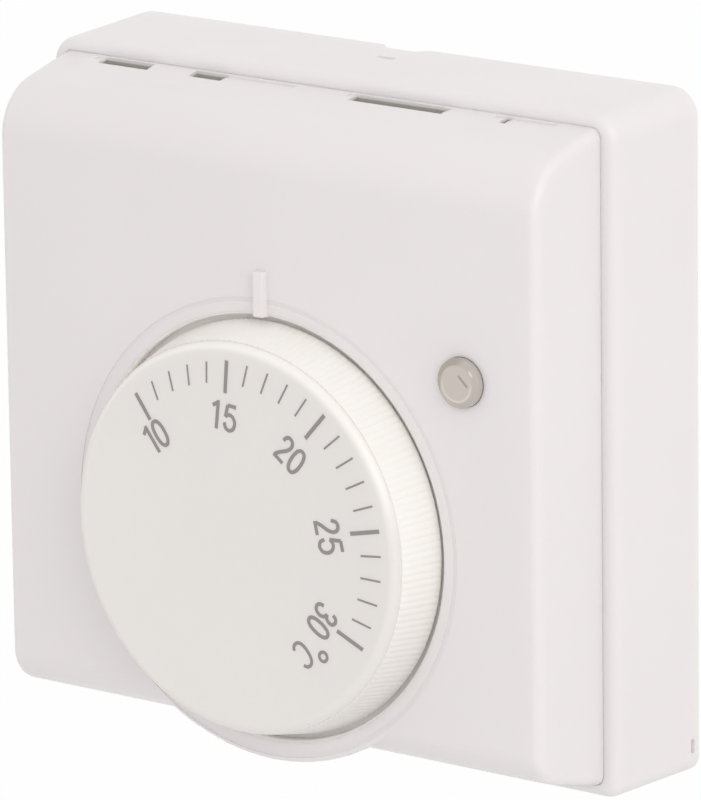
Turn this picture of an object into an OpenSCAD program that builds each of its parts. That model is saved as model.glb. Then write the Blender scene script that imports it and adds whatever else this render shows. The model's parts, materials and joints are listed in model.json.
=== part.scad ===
// Wall-mounted room thermostat with a temperature dial, a sloped vented cover and a lamp.
// The part stands as it does on a wall: X to the right, Z up, the wall in the plane Y = 0.
// The origin is the middle of the wall face. Every module is drawn lying on that plane,
// with x to the right, y up and z as the height off the wall, and is then set upright.

/* [Back box] */
// Width of the back box at the wall
box_w = 84; // [82:0.5:96]
// Height of the back box at the wall
box_h = 83.1; // [81:0.1:96]
// Depth of the back box, from the wall to its front rim
box_depth = 16.3; // [15.5:0.1:20]
// Thickness of the plate that lies on the wall
box_back = 2.2; // [1.6:0.1:2.8]
// Width of the rim beside the cover
rim_side = 2; // [1.6:0.05:2.4]
// Width of the rim above and below the cover
rim_top = 1.5; // [1.4:0.1:2.2]
// How far each side leans in between the wall and the rim
box_draft = 0.4; // [0.2:0.05:0.8]
// Radius of the upper corners of the back box, seen from the front
box_corner_r = 3.4; // [2.6:0.1:6]
// Radius of the lower corners of the back box, seen from the front
box_lower_corner_r = 2; // [1.8:0.1:4]
// Radius along the front edge of the rim
box_edge_r = 1.3; // [0.5:0.1:1.3]

/* [Wall fixing] */
// Distance between the two wall screws
wall_screw_pitch = 60; // [58:0.5:62]
// Radius of a wall screw hole
wall_screw_r = 2.1; // [1.8:0.05:2.4]
// Height of the wall screws above the middle of the box
wall_screw_y = 0; // [-0.5:0.1:1]
// Width of the cable entry
cable_w = 24; // [18:0.5:25]
// Height of the cable entry
cable_h = 11; // [8:0.5:11]
// Height of the middle of the cable entry
cable_y = 12.8; // [12.6:0.1:13]

/* [Cover] */
// Depth of the cover in front of the rim
cover_depth = 12.9; // [12:0.1:15]
// Thickness of the cover
cover_wall = 2; // [1.6:0.1:2.2]
// Gap between the cover and the rim around it
seam_gap = 0.02; // [0.02:0.01:0.2]
// Length of the tongue that reaches into the box
tongue_depth = 3; // [2.6:0.1:4]
// Radius of the large bend above the front
top_bend_r = 7; // [5:0.1:8]
// Radius of the bend below the front
bottom_bend_r = 4.5; // [3:0.1:5]
// Lean of the upper face, in degrees
top_lean = 13; // [8:0.5:16]
// Lean of the lower face, in degrees
bottom_lean = 15; // [10:0.5:17]
// Radius along the two side edges of the cover
cover_edge_r = 1.2; // [0.6:0.1:1.2]

/* [Vents] */
// Length of an inner vent slot
vent_inner_w = 15; // [12:0.2:16]
// Distance from the middle to the centre of an inner vent slot
vent_inner_x = 11.4; // [10.8:0.1:11.8]
// Length of an outer vent slot
vent_outer_w = 8.8; // [7:0.2:9.4]
// Distance from the middle to the centre of an outer vent slot
vent_outer_x = 29.6; // [29:0.1:30]
// Width of a vent slot
vent_depth = 1.7; // [1.2:0.1:2.4]
// Distance of the vent slots from the rim of the box
vent_lift = 0.4; // [0.2:0.1:1.6]

/* [Dial] */
// Height of the dial's axis above the lower edge of the box
dial_from_bottom = 30.2; // [29.8:0.1:30.6]
// Radius of the dial at its foot
dial_foot_r = 25.2; // [24.8:0.1:25.8]
// Radius of the dial where the knurl ends
dial_top_r = 23.9; // [23.2:0.1:24.4]
// Height of the dial above the front of the cover
dial_rise = 6.1; // [5:0.1:7]
// Thickness of the dial's face
dial_face_t = 1.8; // [1.4:0.1:2.2]
// Thickness of the dial's skirt
dial_skirt_t = 1.5; // [1.2:0.1:1.8]
// Radius of the soft edge around the dial's face
dial_rim_r = 1.1; // [0.8:0.05:1.3]
// Depth of the flat face below the crest of that edge
face_sink = 0.03; // [0.02:0.01:0.1]
// Number of ribs in the knurl
knurl_count = 180; // [120:4:200]
// Depth of the knurl
knurl_depth = 0.12; // [0.12:0.02:0.3]
// Gap between the dial's foot and the rim of its well
dial_gap = 0.66; // [0.45:0.03:0.9]
// Width of the raised ring around the dial
ring_w = 2.75; // [2.2:0.05:3.2]
// Height of the raised ring above the front of the cover
ring_rise = 0.02; // [0.02:0.02:0.6]
// Radius along the outer edge of the raised ring
ring_outer_edge_r = 0.6; // [0.5:0.1:1.2]
// Radius along the inner edge of the raised ring
ring_inner_edge_r = 0.65; // [0.3:0.05:0.8]
// Distance from the outer line of the ring to the fine groove in it
ring_groove_in = 0.86; // [0.7:0.02:1.2]
// Width of that groove
ring_groove_w = 0.5; // [0.3:0.05:0.6]
// Depth of that groove
ring_groove_depth = 0.12; // [0.06:0.02:0.2]
// How far the dial's foot sinks below the raised ring
foot_sink = 0.84; // [0.6:0.04:1.2]
// Gap between the dial's foot and the floor of the well
foot_gap = 0.7; // [0.6:0.1:1.3]
// Thickness of the floor of the well
well_t = 1.6; // [1.4:0.1:2]
// Temperature under the pointer as the dial is drawn
shown_temp = 15.3; // [14:0.1:17]
// Lowest temperature on the dial
low_temp = 10; // [5:1:12]
// Highest temperature on the dial
high_temp = 30; // [26:1:30]
// Turn of the dial for one degree of temperature, in degrees
turn_per_temp = 8.1; // [7:0.1:8.4]
// Width of the pointer ridge
pointer_w = 1.6; // [1:0.1:2]
// Length of the pointer ridge
pointer_l = 5.4; // [4:0.1:7]
// Height of the pointer ridge above the front of the cover
pointer_rise = 0.9; // [0.5:0.1:1.5]

/* [Lamp] */
// Distance from the right edge of the box to the lamp
lamp_from_side = 12.95; // [12.4:0.05:13.4]
// Height of the lamp above the dial's axis
lamp_above_dial = 22.1; // [22:0.1:22.6]
// Radius of the lens in the cover
lens_r = 2.98; // [2.88:0.05:3.3]
// Height of the lens above the cover
lens_rise = 1.25; // [1:0.05:2]
// Radius of the glass lamp
bulb_r = 2.1; // [1.9:0.05:2.2]

/* [Setting drive] */
// Radius of the setting spindle in its bearing
spindle_r = 2.5; // [2.3:0.05:2.8]
// Radius of the spindle's thread
thread_r = 2.2; // [2:0.05:2.2]
// Travel of the capsule for one turn of the spindle
thread_lead = 2.4; // [1.6:0.1:3]
// Running clearance of shafts and pins
run_gap = 0.05; // [0.03:0.01:0.08]
// Thickness of the steel yoke
yoke_t = 1.4; // [1.2:0.1:1.6]
// Width of the steel yoke
yoke_w = 9; // [8:0.2:10]
// Height of the carrier's hub above its plate
carrier_hub_h = 2.6; // [2.2:0.1:3]
// Thickness of the carrier's plate
carrier_t = 1.6; // [1.4:0.1:2]

/* [Capsule] */
// Radius of the vapour capsule
capsule_r = 17.5; // [16.5:0.1:17.6]
// Thickness of the vapour capsule
capsule_t = 4.6; // [4:0.1:4.6]
// Length of the capsule's nose
nose_l = 0.7; // [0.6:0.05:1]

/* [Switch] */
// Thickness of the chassis plate
chassis_t = 1.8; // [1.6:0.1:2]
// Travel of the switch button
button_travel = 0.3; // [0.2:0.02:0.36]
// Radius of the switch button's pin
button_r = 1.2; // [1:0.05:1.4]
// Distance from the blade's pivot to the button
pivot_x = 7.4; // [7:0.1:8]
// Distance from the button to the contacts
contact_x = 9; // [8.6:0.1:9.4]
// Thickness of the contact strips
strip_t = 0.4; // [0.3:0.05:0.5]
// Width of the contact strips
strip_w = 4; // [3.4:0.1:4.2]

/* [Terminals] */
// Number of terminals
terminal_count = 4; // [4:1:4]
// Distance between terminals
terminal_pitch = 10; // [9.4:0.1:10.4]
// Height of the terminal block's lower face above the middle of the box
block_y = 19.5; // [19.4:0.1:20.4]
// Depth of the terminal block along the wires
block_l = 14; // [13:0.2:15]

/* [Hidden] */
$fn = 64;

// Small amount by which joined or cut shapes run past each other
over = 0.5;
// Clearance between fixed pieces that are set into one another
fit_gap = 0.1;

// Outline of the box at its front, and of the hollow inside it
box_front_w = box_w - 2 * box_draft;
box_front_h = box_h - 2 * box_draft;
cavity_w = box_front_w - 2 * rim_side;
cavity_h = box_front_h - 2 * rim_top;
cavity_r = cover_edge_r;

// Places of the dial and the lamp, from the middle of the box
dial_y = -box_h / 2 + dial_from_bottom;
lamp_x = box_w / 2 - lamp_from_side;
lamp_y = dial_y + lamp_above_dial;

// Outline of the cover at the rim
cover_w = cavity_w - 2 * seam_gap;
cover_half_h = cavity_h / 2 - seam_gap;
cover_front_z = box_depth + cover_depth;

// Heights of the dial and its well, from the cover's front downwards
ring_z = cover_front_z + ring_rise;
dial_foot_z = ring_z - foot_sink;
well_z = dial_foot_z - foot_gap;
well_under_z = well_z - well_t;
dial_front_z = cover_front_z + dial_rise;
dial_under_z = dial_front_z - dial_face_t;
well_r = dial_foot_r + dial_gap;
ring_r = well_r + ring_w;
knurl_z0 = dial_foot_z + 0.2;
knurl_z1 = dial_front_z - dial_rim_r;
skirt_slope = (dial_foot_r - dial_top_r) / (knurl_z1 - dial_foot_z);

// Turn of the dial from the drawn setting to each end of its range
turn_min = (shown_temp - low_temp) * turn_per_temp;
turn_max = (high_temp - shown_temp) * turn_per_temp;
travel_min = thread_lead * turn_min / 360;
travel_max = thread_lead * turn_max / 360;

// Stack of the setting drive, from the well's floor downwards
clip_t = 0.6;
clip_r = 4.2;
clip_z = well_under_z - 0.5 - clip_t;
shoulder_gap = 0.1;
yoke_z = clip_z - shoulder_gap - yoke_t;
flange_t = 0.8;
flange_r = spindle_r + 1.7;
flange_z = yoke_z - shoulder_gap - flange_t;
carrier_hub_z = flange_z - travel_max - 0.3;
carrier_z = carrier_hub_z - carrier_hub_h - carrier_t;
capsule_z = carrier_z - capsule_t;
nose_z = capsule_z - nose_l;
thread_floor_t = 0.6;
thread_tip_z = carrier_z + thread_floor_t + travel_max + 0.2;

// Switch and chassis, below the capsule's nose
button_top_z = nose_z - travel_min - 0.06;
button_proud = 0.5;
chassis_top_z = button_top_z - button_proud;
chassis_z = chassis_top_z - chassis_t;
strip_z = chassis_z - strip_t;
contact_t = 0.3;
contact_air = 0.03;
dome_t = 0.4;
blade_t = 0.3;
blade_top_z = strip_z - contact_t - contact_air - dome_t;
blade_z = blade_top_z - blade_t;
contact_travel = button_travel * (pivot_x + contact_x) / pivot_x;
lower_contact_z = blade_z - dome_t - contact_travel - contact_air;
lower_strip_z = lower_contact_z - dome_t - strip_t;
contact_r = 1.3;
rivet_r = 0.7;

// Steel yoke over the capsule
leg_gap = 0.3;
claw_t = 1.2;
leg_x = capsule_r + fit_gap + claw_t + 1.6;
foot_l = 5.8;
yoke_bend_r = 1;

// Chassis outline and its fixing points
chassis_half_w = 24.5;
chassis_low_y = -box_h / 2 + 5.3;
chassis_high_y = dial_y + capsule_r + 1.1;
wing_half_h = yoke_w / 2 + 2;
post_r = 3;
screw_r = 1.2;
screw_head_r = 2.4;
screw_head_t = 1.5;
chassis_screw_l = 6;
yoke_screw_l = 5;
chassis_post_x = 21.5;
chassis_post_low_y = -box_h / 2 + 9.8;
chassis_post_high_y = dial_y + 14.6;
chassis_posts = [
    [-chassis_post_x, chassis_post_low_y], [chassis_post_x, chassis_post_low_y],
    [-chassis_post_x, chassis_post_high_y], [chassis_post_x, chassis_post_high_y]
];
yoke_head_r = screw_head_r - 0.3;
yoke_screw_x = leg_x + yoke_t + yoke_bend_r + yoke_head_r + 0.15;
arm_x0 = chassis_half_w - 2.5;
arm_x1 = lamp_x + 4.8;
arm_half_h = 5;

// Screw that holds the cover, under the dial
cover_screw_turn = 225;
cover_screw_radius = 22;
cover_screw_x = cover_screw_radius * cos(cover_screw_turn);
cover_screw_y = dial_y + cover_screw_radius * sin(cover_screw_turn);
cover_screw_r = 1.45;
cover_screw_l = 12;
cover_head_r = 2.7;
cover_head_t = 1.7;
cup_r = 4;
cup_seat_z = well_z - cover_head_t - 0.3;
cup_z = cup_seat_z - 1.2;
cover_post_r = 3.2;

// Stops for the dial: a lug under its face and two pins in the floor of the well
stop_radius = 20.4;
lug_w = 2.4;
pin_r = 1;
stop_gap = 0.25;
hub_z = well_z - 0.4;
lug_turn = 90 + (turn_min - turn_max) / 2;
stop_turn = asin((lug_w / 2 + pin_r + stop_gap) / stop_radius);
pin_turn_low = lug_turn - turn_min - stop_turn;
pin_turn_high = lug_turn + turn_max + stop_turn;
pin_hole_count = 13;
pin_rise = 2.2;
pin_collar_r = 1.8;
pin_collar_t = 0.35;

// Lens and lamp
lens_flange_r = lens_r + 1;
lens_flange_t = 0.8;
lens_front_r = lens_r * 0.75;
lens_bevel_h = 0.45;
lens_bore_r = bulb_r + 0.35;
lens_skin_t = 1.2;
lens_front_z = cover_front_z + lens_rise;
bulb_wall = 0.4;
bulb_z = chassis_top_z + 2.4;
bulb_tip_z = lens_front_z - lens_skin_t - 0.4;
socket_h = 5.6;
socket_wall = 1.2;

// Terminal block
block_z = box_back + 2.2;
block_top_z = strip_z + 6.3;
block_side = 2.2;
block_w = terminal_count * terminal_pitch + 2;
peg_r = 0.9;
peg_h = 2;
peg_from_end = 1.4;
chamber_w = 7.2;
chamber_z = strip_z - 3.6;
chamber_top_z = strip_z + 3.8;
chamber_l = 10.5;
clamp_w = 6.6;
clamp_l = 6;
clamp_wall = 0.9;
clamp_y = block_y + 5.6;
clamp_z = chamber_z + 0.3;
clamp_top_z = chamber_top_z - 0.4;
terminal_screw_r = 1.5;
terminal_head_r = 2.6;
terminal_head_t = 1.7;
function terminal_x(i) = (i - (terminal_count - 1) / 2) * terminal_pitch;
common_x = terminal_x(0);
neutral_x = terminal_x(1);
make_x = terminal_x(2);
break_x = terminal_x(3);
strip_end_y = clamp_y + clamp_l / 2 + 0.6;
step_y = chassis_high_y + 4.6;

// Cover outline as seen from the side, as [height, depth] points, drawn in by an inset.
// The two bends are arcs between the leaning faces and the front.
bend_steps = 14;
function top_bend_y() = cover_half_h - (cover_front_z - top_bend_r - box_depth) * tan(top_lean)
    - top_bend_r / cos(top_lean);
function bottom_bend_y() = cover_half_h - (cover_front_z - bottom_bend_r - box_depth) * tan(bottom_lean)
    - bottom_bend_r / cos(bottom_lean);
function cover_profile(inset, back_z) = concat(
    [[cover_half_h - inset, back_z]],
    [[cover_half_h - inset / cos(top_lean), box_depth]],
    [for (i = [0:bend_steps])
        let (a = top_lean + (90 - top_lean) * i / bend_steps)
        [top_bend_y() + (top_bend_r - inset) * cos(a),
            cover_front_z - top_bend_r + (top_bend_r - inset) * sin(a)]],
    [for (i = [0:bend_steps])
        let (a = 90 - (90 - bottom_lean) * i / bend_steps)
        [-bottom_bend_y() - (bottom_bend_r - inset) * cos(a),
            cover_front_z - bottom_bend_r + (bottom_bend_r - inset) * sin(a)]],
    [[-cover_half_h + inset / cos(bottom_lean), box_depth]],
    [[-cover_half_h + inset, back_z]]
);

// Ribs of the knurl as one closed outline: a flat land and a groove for each rib
function knurl_outline(r) = [
    for (i = [0:knurl_count - 1])
        for (p = [[0, r], [0.4, r], [0.7, r - knurl_depth]])
            let (a = 360 * (i + p[0]) / knurl_count)
            [p[1] * cos(a), p[1] * sin(a)]
];

// Sets a shape that was drawn lying on the wall plane upright
module upright() {
    rotate([90, 0, 0])
        children();
}

// Rectangle with round corners, centred
module rounded_rect(w, h, r) {
    square([w - 2 * r, h], center = true);
    square([w, h - 2 * r], center = true);
    for (sx = [-1, 1])
        for (sy = [-1, 1])
            translate([sx * (w / 2 - r), sy * (h / 2 - r)])
                circle(r);
}

// Extrudes an outline of [y, z] points along x, centred
module along_x(length) {
    rotate([90, 0, 90])
        linear_extrude(length, center = true)
            children();
}

// Round rod between two points, with a slightly larger ball at each end
module rod(a, b, r) {
    d = b - a;
    length = norm(d);
    translate(a)
        rotate([0, acos(d[2] / length), atan2(d[1], d[0])])
            cylinder(length, r, r, $fn = 24);
    for (p = [a, b])
        translate(p)
            sphere(r + 0.03, $fn = 24);
}

// Wire through a list of points
module wire(points, r) {
    for (i = [0:len(points) - 2])
        rod(points[i], points[i + 1], r);
}

// Pan head screw, its head's underside at the origin and its shank pointing down
module pan_screw(shank_r, length, head_r, head_t) {
    translate([0, 0, -length])
        cylinder(length, shank_r, shank_r);
    difference() {
        rotate_extrude()
            intersection() {
                translate([0, head_t - head_r * 1.6])
                    circle(head_r * 1.6);
                square([head_r, head_t]);
            }
        for (a = [0, 90])
            rotate([0, 0, a])
                translate([-head_r * 0.62, -head_t * 0.16, head_t * 0.45])
                    cube([head_r * 1.24, head_t * 0.32, head_t]);
    }
}

// Corners of the box at one level, with tighter ones along the lower edge
module box_level(z, t, inset, corner_in) {
    for (side = [-1, 1])
        for (c = [[1, box_corner_r - corner_in], [-1, box_lower_corner_r - corner_in]])
            translate([side * (box_w / 2 - inset - c[1]), c[0] * (box_h / 2 - inset - c[1]), z])
                cylinder(t, c[1], c[1], $fn = 32);
}

// Outer body of the back box: four leaning sides and a rounded front edge
module box_body() {
    edge_steps = 4;
    level_t = 0.02;
    difference() {
        hull() {
            box_level(-level_t, level_t, 0, 0);
            for (i = [0:edge_steps]) {
                a = 90 * i / edge_steps;
                edge_in = box_edge_r * (1 - cos(a));
                box_level(box_depth - box_edge_r * (1 - sin(a)) - level_t, level_t,
                    box_draft + edge_in, edge_in);
            }
        }
        translate([-box_w, -box_h, -box_depth])
            cube([2 * box_w, 2 * box_h, box_depth]);
    }
}

// Back box with its wall plate, posts and cable entry
module base() {
    pad_r = wall_screw_r + 2.4;
    hook_room = 0.6;
    notch_w = 4;
    notch_h = 0.85;
    notch_depth = 1.3;
    gate_x = 0.9;
    gate_z = 5;
    gate_l = 2.6;
    gate_w = 0.9;
    gate_depth = 0.55;
    side_mark_y = -box_h / 2 + 2.6;
    side_mark_z = 0.9;
    side_mark_l = 1.7;
    color("white") upright() {
        difference() {
            union() {
                difference() {
                    box_body();
                    translate([0, 0, box_back])
                        linear_extrude(box_depth)
                            rounded_rect(cavity_w, cavity_h, cavity_r);
                }
                for (side = [-1, 1])
                    translate([side * wall_screw_pitch / 2, wall_screw_y, box_back - over])
                        cylinder(over + 0.8, pad_r, pad_r);
                for (p = chassis_posts)
                    translate([p[0], p[1], box_back - over])
                        cylinder(chassis_z - box_back + over, post_r, post_r);
                translate([cover_screw_x, cover_screw_y, box_back - over])
                    cylinder(cup_z - fit_gap - box_back + over, cover_post_r, cover_post_r);
                block_pedestals();
                cable_collar();
            }
            for (side = [-1, 1])
                translate([side * wall_screw_pitch / 2, wall_screw_y, -over])
                    cylinder(box_depth, wall_screw_r, wall_screw_r);
            for (p = chassis_posts)
                translate([p[0], p[1], box_back])
                    cylinder(box_depth, screw_r + run_gap, screw_r + run_gap);
            translate([cover_screw_x, cover_screw_y, cup_seat_z - cover_screw_l - 1])
                cylinder(box_depth + over, cover_screw_r + run_gap, cover_screw_r + run_gap);
            translate([-cable_w / 2, cable_y - cable_h / 2, -over])
                cube([cable_w, cable_h, box_depth]);
            for (side = [-1, 1])
                translate([side * hook_x() - hook_w() / 2 - fit_gap, cavity_h / 2 - over,
                           box_depth - tongue_depth - 0.2])
                    cube([hook_w() + 2 * fit_gap, over + hook_room, 1.9]);
            translate([0, box_h / 2, 0])
                rotate([90, 0, 0])
                    linear_extrude(2 * notch_h, center = true)
                        polygon([
                            [-notch_w, -over],
                            [notch_w, -over],
                            [notch_w / 2, notch_depth],
                            [-notch_w / 2, notch_depth]
                        ]);
            translate([gate_x - gate_l / 2, box_h / 2 - gate_depth, gate_z])
                cube([gate_l, 1, gate_w]);
            translate([box_w / 2 - 0.5, side_mark_y, side_mark_z])
                cube([1, side_mark_l, 0.7]);
        }
    }
}

// Low wall around the cable entry
module cable_collar() {
    collar = 1.2;
    difference() {
        translate([-cable_w / 2 - collar, cable_y - cable_h / 2 - collar, box_back - over])
            cube([cable_w + 2 * collar, cable_h + 2 * collar, over + 1.2]);
        translate([-cable_w / 2, cable_y - cable_h / 2, 0])
            cube([cable_w, cable_h, box_depth]);
    }
}

// Two bars that carry the terminal block, each with a locating peg behind the chambers
module block_pedestals() {
    bar_w = 3.2;
    bar_end = 0.8;
    for (side = [-1, 1])
        translate([side * (block_w / 2 - block_side), block_y, 0]) {
            translate([-bar_w / 2, bar_end, box_back - over])
                cube([bar_w, block_l - 2 * bar_end + 0.3, block_z - box_back + over]);
            translate([0, block_l - peg_from_end, block_z - over])
                cylinder(over + peg_h, peg_r, peg_r);
        }
}

// Place and width of the two hooks on the cover's upper tongue
function hook_x() = (vent_inner_x + vent_inner_w / 2 + vent_outer_x - vent_outer_w / 2) / 2;
function hook_w() = 3;

// Outer form of the cover, with soft side edges
module cover_body() {
    edge_steps = 4;
    back_z = box_depth - tongue_depth;
    difference() {
        hull()
            for (i = [0:edge_steps]) {
                a = 90 * i / edge_steps;
                along_x(cover_w - 2 * cover_edge_r * (1 - cos(a)))
                    polygon(cover_profile(cover_edge_r * (1 - sin(a)), back_z - over));
            }
        translate([-cover_w, -2 * cover_half_h, back_z - box_depth])
            cube([2 * cover_w, 4 * cover_half_h, box_depth]);
    }
}

// Raised ring around the dial, which stands proud of the cover's lower slope
module dial_ring() {
    foot_z = box_depth + seam_gap;
    edge = ring_outer_edge_r;
    translate([0, dial_y, 0])
        rotate_extrude($fn = 128) {
            translate([0, foot_z])
                square([ring_r, ring_z - foot_z - edge]);
            translate([0, foot_z])
                square([ring_r - edge, ring_z - foot_z]);
            translate([ring_r - edge, ring_z - edge])
                circle(edge, $fn = 32);
        }
}

// Space of the dial's well, with the round inner edge of the ring
module well_space() {
    edge = ring_inner_edge_r;
    translate([0, dial_y, 0]) {
        translate([0, 0, well_z])
            cylinder(cover_depth, well_r, well_r, $fn = 128);
        rotate_extrude($fn = 128)
            difference() {
                translate([well_r - over, ring_z - edge])
                    square([edge + over, edge + over]);
                translate([well_r + edge, ring_z - edge])
                    circle(edge, $fn = 32);
            }
    }
}

// Fine groove just inside the outer line of the ring
module ring_groove() {
    translate([0, dial_y, 0])
        rotate_extrude($fn = 128)
            translate([ring_r - ring_groove_in - ring_groove_w / 2, ring_z - ring_groove_depth])
                square([ring_groove_w, ring_groove_depth + 1]);
}

// Ridge that points at the scale, and starts at the wall of the well
module pointer() {
    y0 = dial_y + well_r + fit_gap;
    foot_z = ring_z - ring_inner_edge_r - 0.1;
    top_w = pointer_w * 0.8;
    translate([0, y0 + pointer_l / 2, 0])
        rotate([90, 0, 0])
            linear_extrude(pointer_l, center = true)
                polygon([
                    [-pointer_w / 2, foot_z],
                    [pointer_w / 2, foot_z],
                    [pointer_w / 2, cover_front_z],
                    [top_w / 2, cover_front_z + pointer_rise],
                    [-top_w / 2, cover_front_z + pointer_rise],
                    [-pointer_w / 2, cover_front_z]
                ]);
}

// Slot of the vents that starts at x, cut from outside of the cover over the given reach
module vent_slot(side, x, w, reach) {
    translate([x, side * (cover_half_h - reach / 2 + 1) - reach / 2, box_depth + vent_lift])
        cube([w, reach, vent_depth]);
}

// Vent slots along one edge of the cover: their places, and the part of each that is open
module vents(side) {
    trace_reach = 1.35;
    open_reach = cover_wall + 3;
    for (v = [[-vent_outer_x, vent_outer_w, 0.15, 0.85], [-vent_inner_x, vent_inner_w, 0, 0.32],
              [vent_inner_x, vent_inner_w, 0.07, 0.9], [vent_outer_x, vent_outer_w, 0.17, 0.1]]) {
        x0 = v[0] - v[1] / 2;
        vent_slot(side, x0, v[1], trace_reach);
        vent_slot(side, x0 + v[2] * v[1], v[3] * v[1], open_reach);
    }
}

// Hooks that hold the cover's upper edge in the box
module cover_hooks() {
    back_z = box_depth - tongue_depth;
    for (side = [-1, 1])
        translate([side * hook_x(), 0, 0])
            along_x(hook_w())
                polygon([
                    [cover_half_h - 0.4, back_z],
                    [cover_half_h, back_z],
                    [cover_half_h + 0.45, back_z + 1],
                    [cover_half_h, back_z + 1.4],
                    [cover_half_h - 0.4, back_z + 1.4]
                ]);
}

// Places along the arc of holes for the range pins
module at_pin(turn) {
    translate([stop_radius * cos(turn), dial_y + stop_radius * sin(turn), 0])
        children();
}

// Cover with the dial's well, vents, pointer and lamp hole
module cover() {
    back_z = box_depth - tongue_depth;
    nub_w = 1.2;
    nub_h = 0.5;
    color("white") upright() {
        difference() {
            union() {
                difference() {
                    union() {
                        cover_body();
                        dial_ring();
                    }
                    ring_groove();
                    along_x(cover_w - 2 * cover_wall)
                        polygon(cover_profile(cover_wall, back_z - over));
                    translate([0, dial_y, box_depth])
                        cylinder(cover_depth, well_r, well_r, $fn = 128);
                    well_space();
                }
                pointer();
                translate([0, dial_y, well_under_z])
                    difference() {
                        cylinder(cover_front_z - cover_wall / 2 - well_under_z,
                            well_r + well_t, well_r + well_t, $fn = 128);
                        translate([0, 0, well_t])
                            cylinder(cover_depth, well_r, well_r, $fn = 128);
                    }
                translate([cover_screw_x, cover_screw_y, cup_z])
                    cylinder(well_z - cup_z, cup_r, cup_r);
                cover_hooks();
            }
            vents(1);
            vents(-1);
            translate([0, dial_y, well_under_z - over])
                cylinder(well_t + 2 * over, clip_r + 1.4, clip_r + 1.4);
            for (i = [0:pin_hole_count - 1])
                at_pin(pin_turn_low + (pin_turn_high - pin_turn_low) * i / (pin_hole_count - 1))
                    translate([0, 0, well_under_z - over])
                        cylinder(well_t + 2 * over, pin_r + run_gap, pin_r + run_gap);
            translate([cover_screw_x, cover_screw_y, cup_seat_z])
                cylinder(cover_depth, cover_head_r + 0.3, cover_head_r + 0.3);
            translate([cover_screw_x, cover_screw_y, cup_z - over])
                cylinder(cover_depth, cover_screw_r + 0.2, cover_screw_r + 0.2);
            translate([lamp_x, lamp_y, cover_front_z - cover_wall - over])
                cylinder(cover_wall + 2 * over, lens_r + run_gap, lens_r + run_gap);
        }
        translate([-vent_outer_x - nub_w / 2, cover_half_h - 1.8,
            box_depth + vent_lift + vent_depth - nub_h])
            cube([nub_w, 1, nub_h + 0.4]);
    }
}

// Clear lens pressed into the cover, hollow from behind to take the lamp
module indicator_lens() {
    flange_z0 = cover_front_z - cover_wall - fit_gap - lens_flange_t;
    color("gainsboro", 0.5) upright()
        translate([lamp_x, lamp_y, 0])
            difference() {
                union() {
                    translate([0, 0, flange_z0])
                        cylinder(lens_flange_t, lens_flange_r, lens_flange_r);
                    translate([0, 0, flange_z0])
                        cylinder(lens_front_z - lens_bevel_h - flange_z0, lens_r, lens_r);
                    translate([0, 0, lens_front_z - lens_bevel_h])
                        cylinder(lens_bevel_h, lens_r, lens_front_r);
                }
                translate([0, 0, flange_z0 - over])
                    cylinder(lens_front_z - lens_skin_t - flange_z0 + over, lens_bore_r, lens_bore_r);
            }
}

// Long screw that holds the cover, under the dial
module cover_screw() {
    color("silver") upright()
        translate([cover_screw_x, cover_screw_y, cup_seat_z])
            pan_screw(cover_screw_r, cover_screw_l, cover_head_r, cover_head_t);
}

// Two pins that stop the dial at the ends of its range
module range_pins() {
    color("firebrick") upright()
        for (turn = [pin_turn_low, pin_turn_high])
            at_pin(turn) {
                translate([0, 0, well_under_z])
                    cylinder(well_t + pin_rise, pin_r, pin_r);
                translate([0, 0, well_z])
                    cylinder(pin_collar_t, pin_collar_r, pin_collar_r);
            }
}

// Outer form of the dial as a turned shape: foot ring, core of the skirt, soft edge and flat face
module dial_form() {
    core_gap = knurl_depth + 0.05;
    foot_r = dial_foot_r - skirt_slope * (knurl_z0 - dial_foot_z);
    rim_r = dial_top_r - core_gap;
    face_r = rim_r - dial_rim_r;
    rotate_extrude($fn = 128) {
        polygon([
            [0, dial_foot_z],
            [dial_foot_r, dial_foot_z],
            [foot_r + 0.05, knurl_z0],
            [foot_r - core_gap, knurl_z0],
            [rim_r, knurl_z1],
            [0, knurl_z1]
        ]);
        translate([0, knurl_z1 - over])
            square([face_r, dial_rim_r + over - face_sink]);
        intersection() {
            translate([face_r, knurl_z1])
                circle(dial_rim_r);
            translate([0, knurl_z1])
                square([dial_foot_r, dial_rim_r + over]);
        }
    }
}

// Knurled band of the skirt
module knurl_band() {
    foot_r = dial_foot_r - skirt_slope * (knurl_z0 - dial_foot_z);
    inner_r = dial_top_r - knurl_depth - dial_skirt_t / 2;
    translate([0, 0, knurl_z0])
        difference() {
            linear_extrude(knurl_z1 - knurl_z0, scale = dial_top_r / foot_r)
                polygon(knurl_outline(foot_r));
            translate([0, 0, -over])
                cylinder(knurl_z1 - knurl_z0 + 2 * over, inner_r, inner_r, $fn = 128);
        }
}

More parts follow.
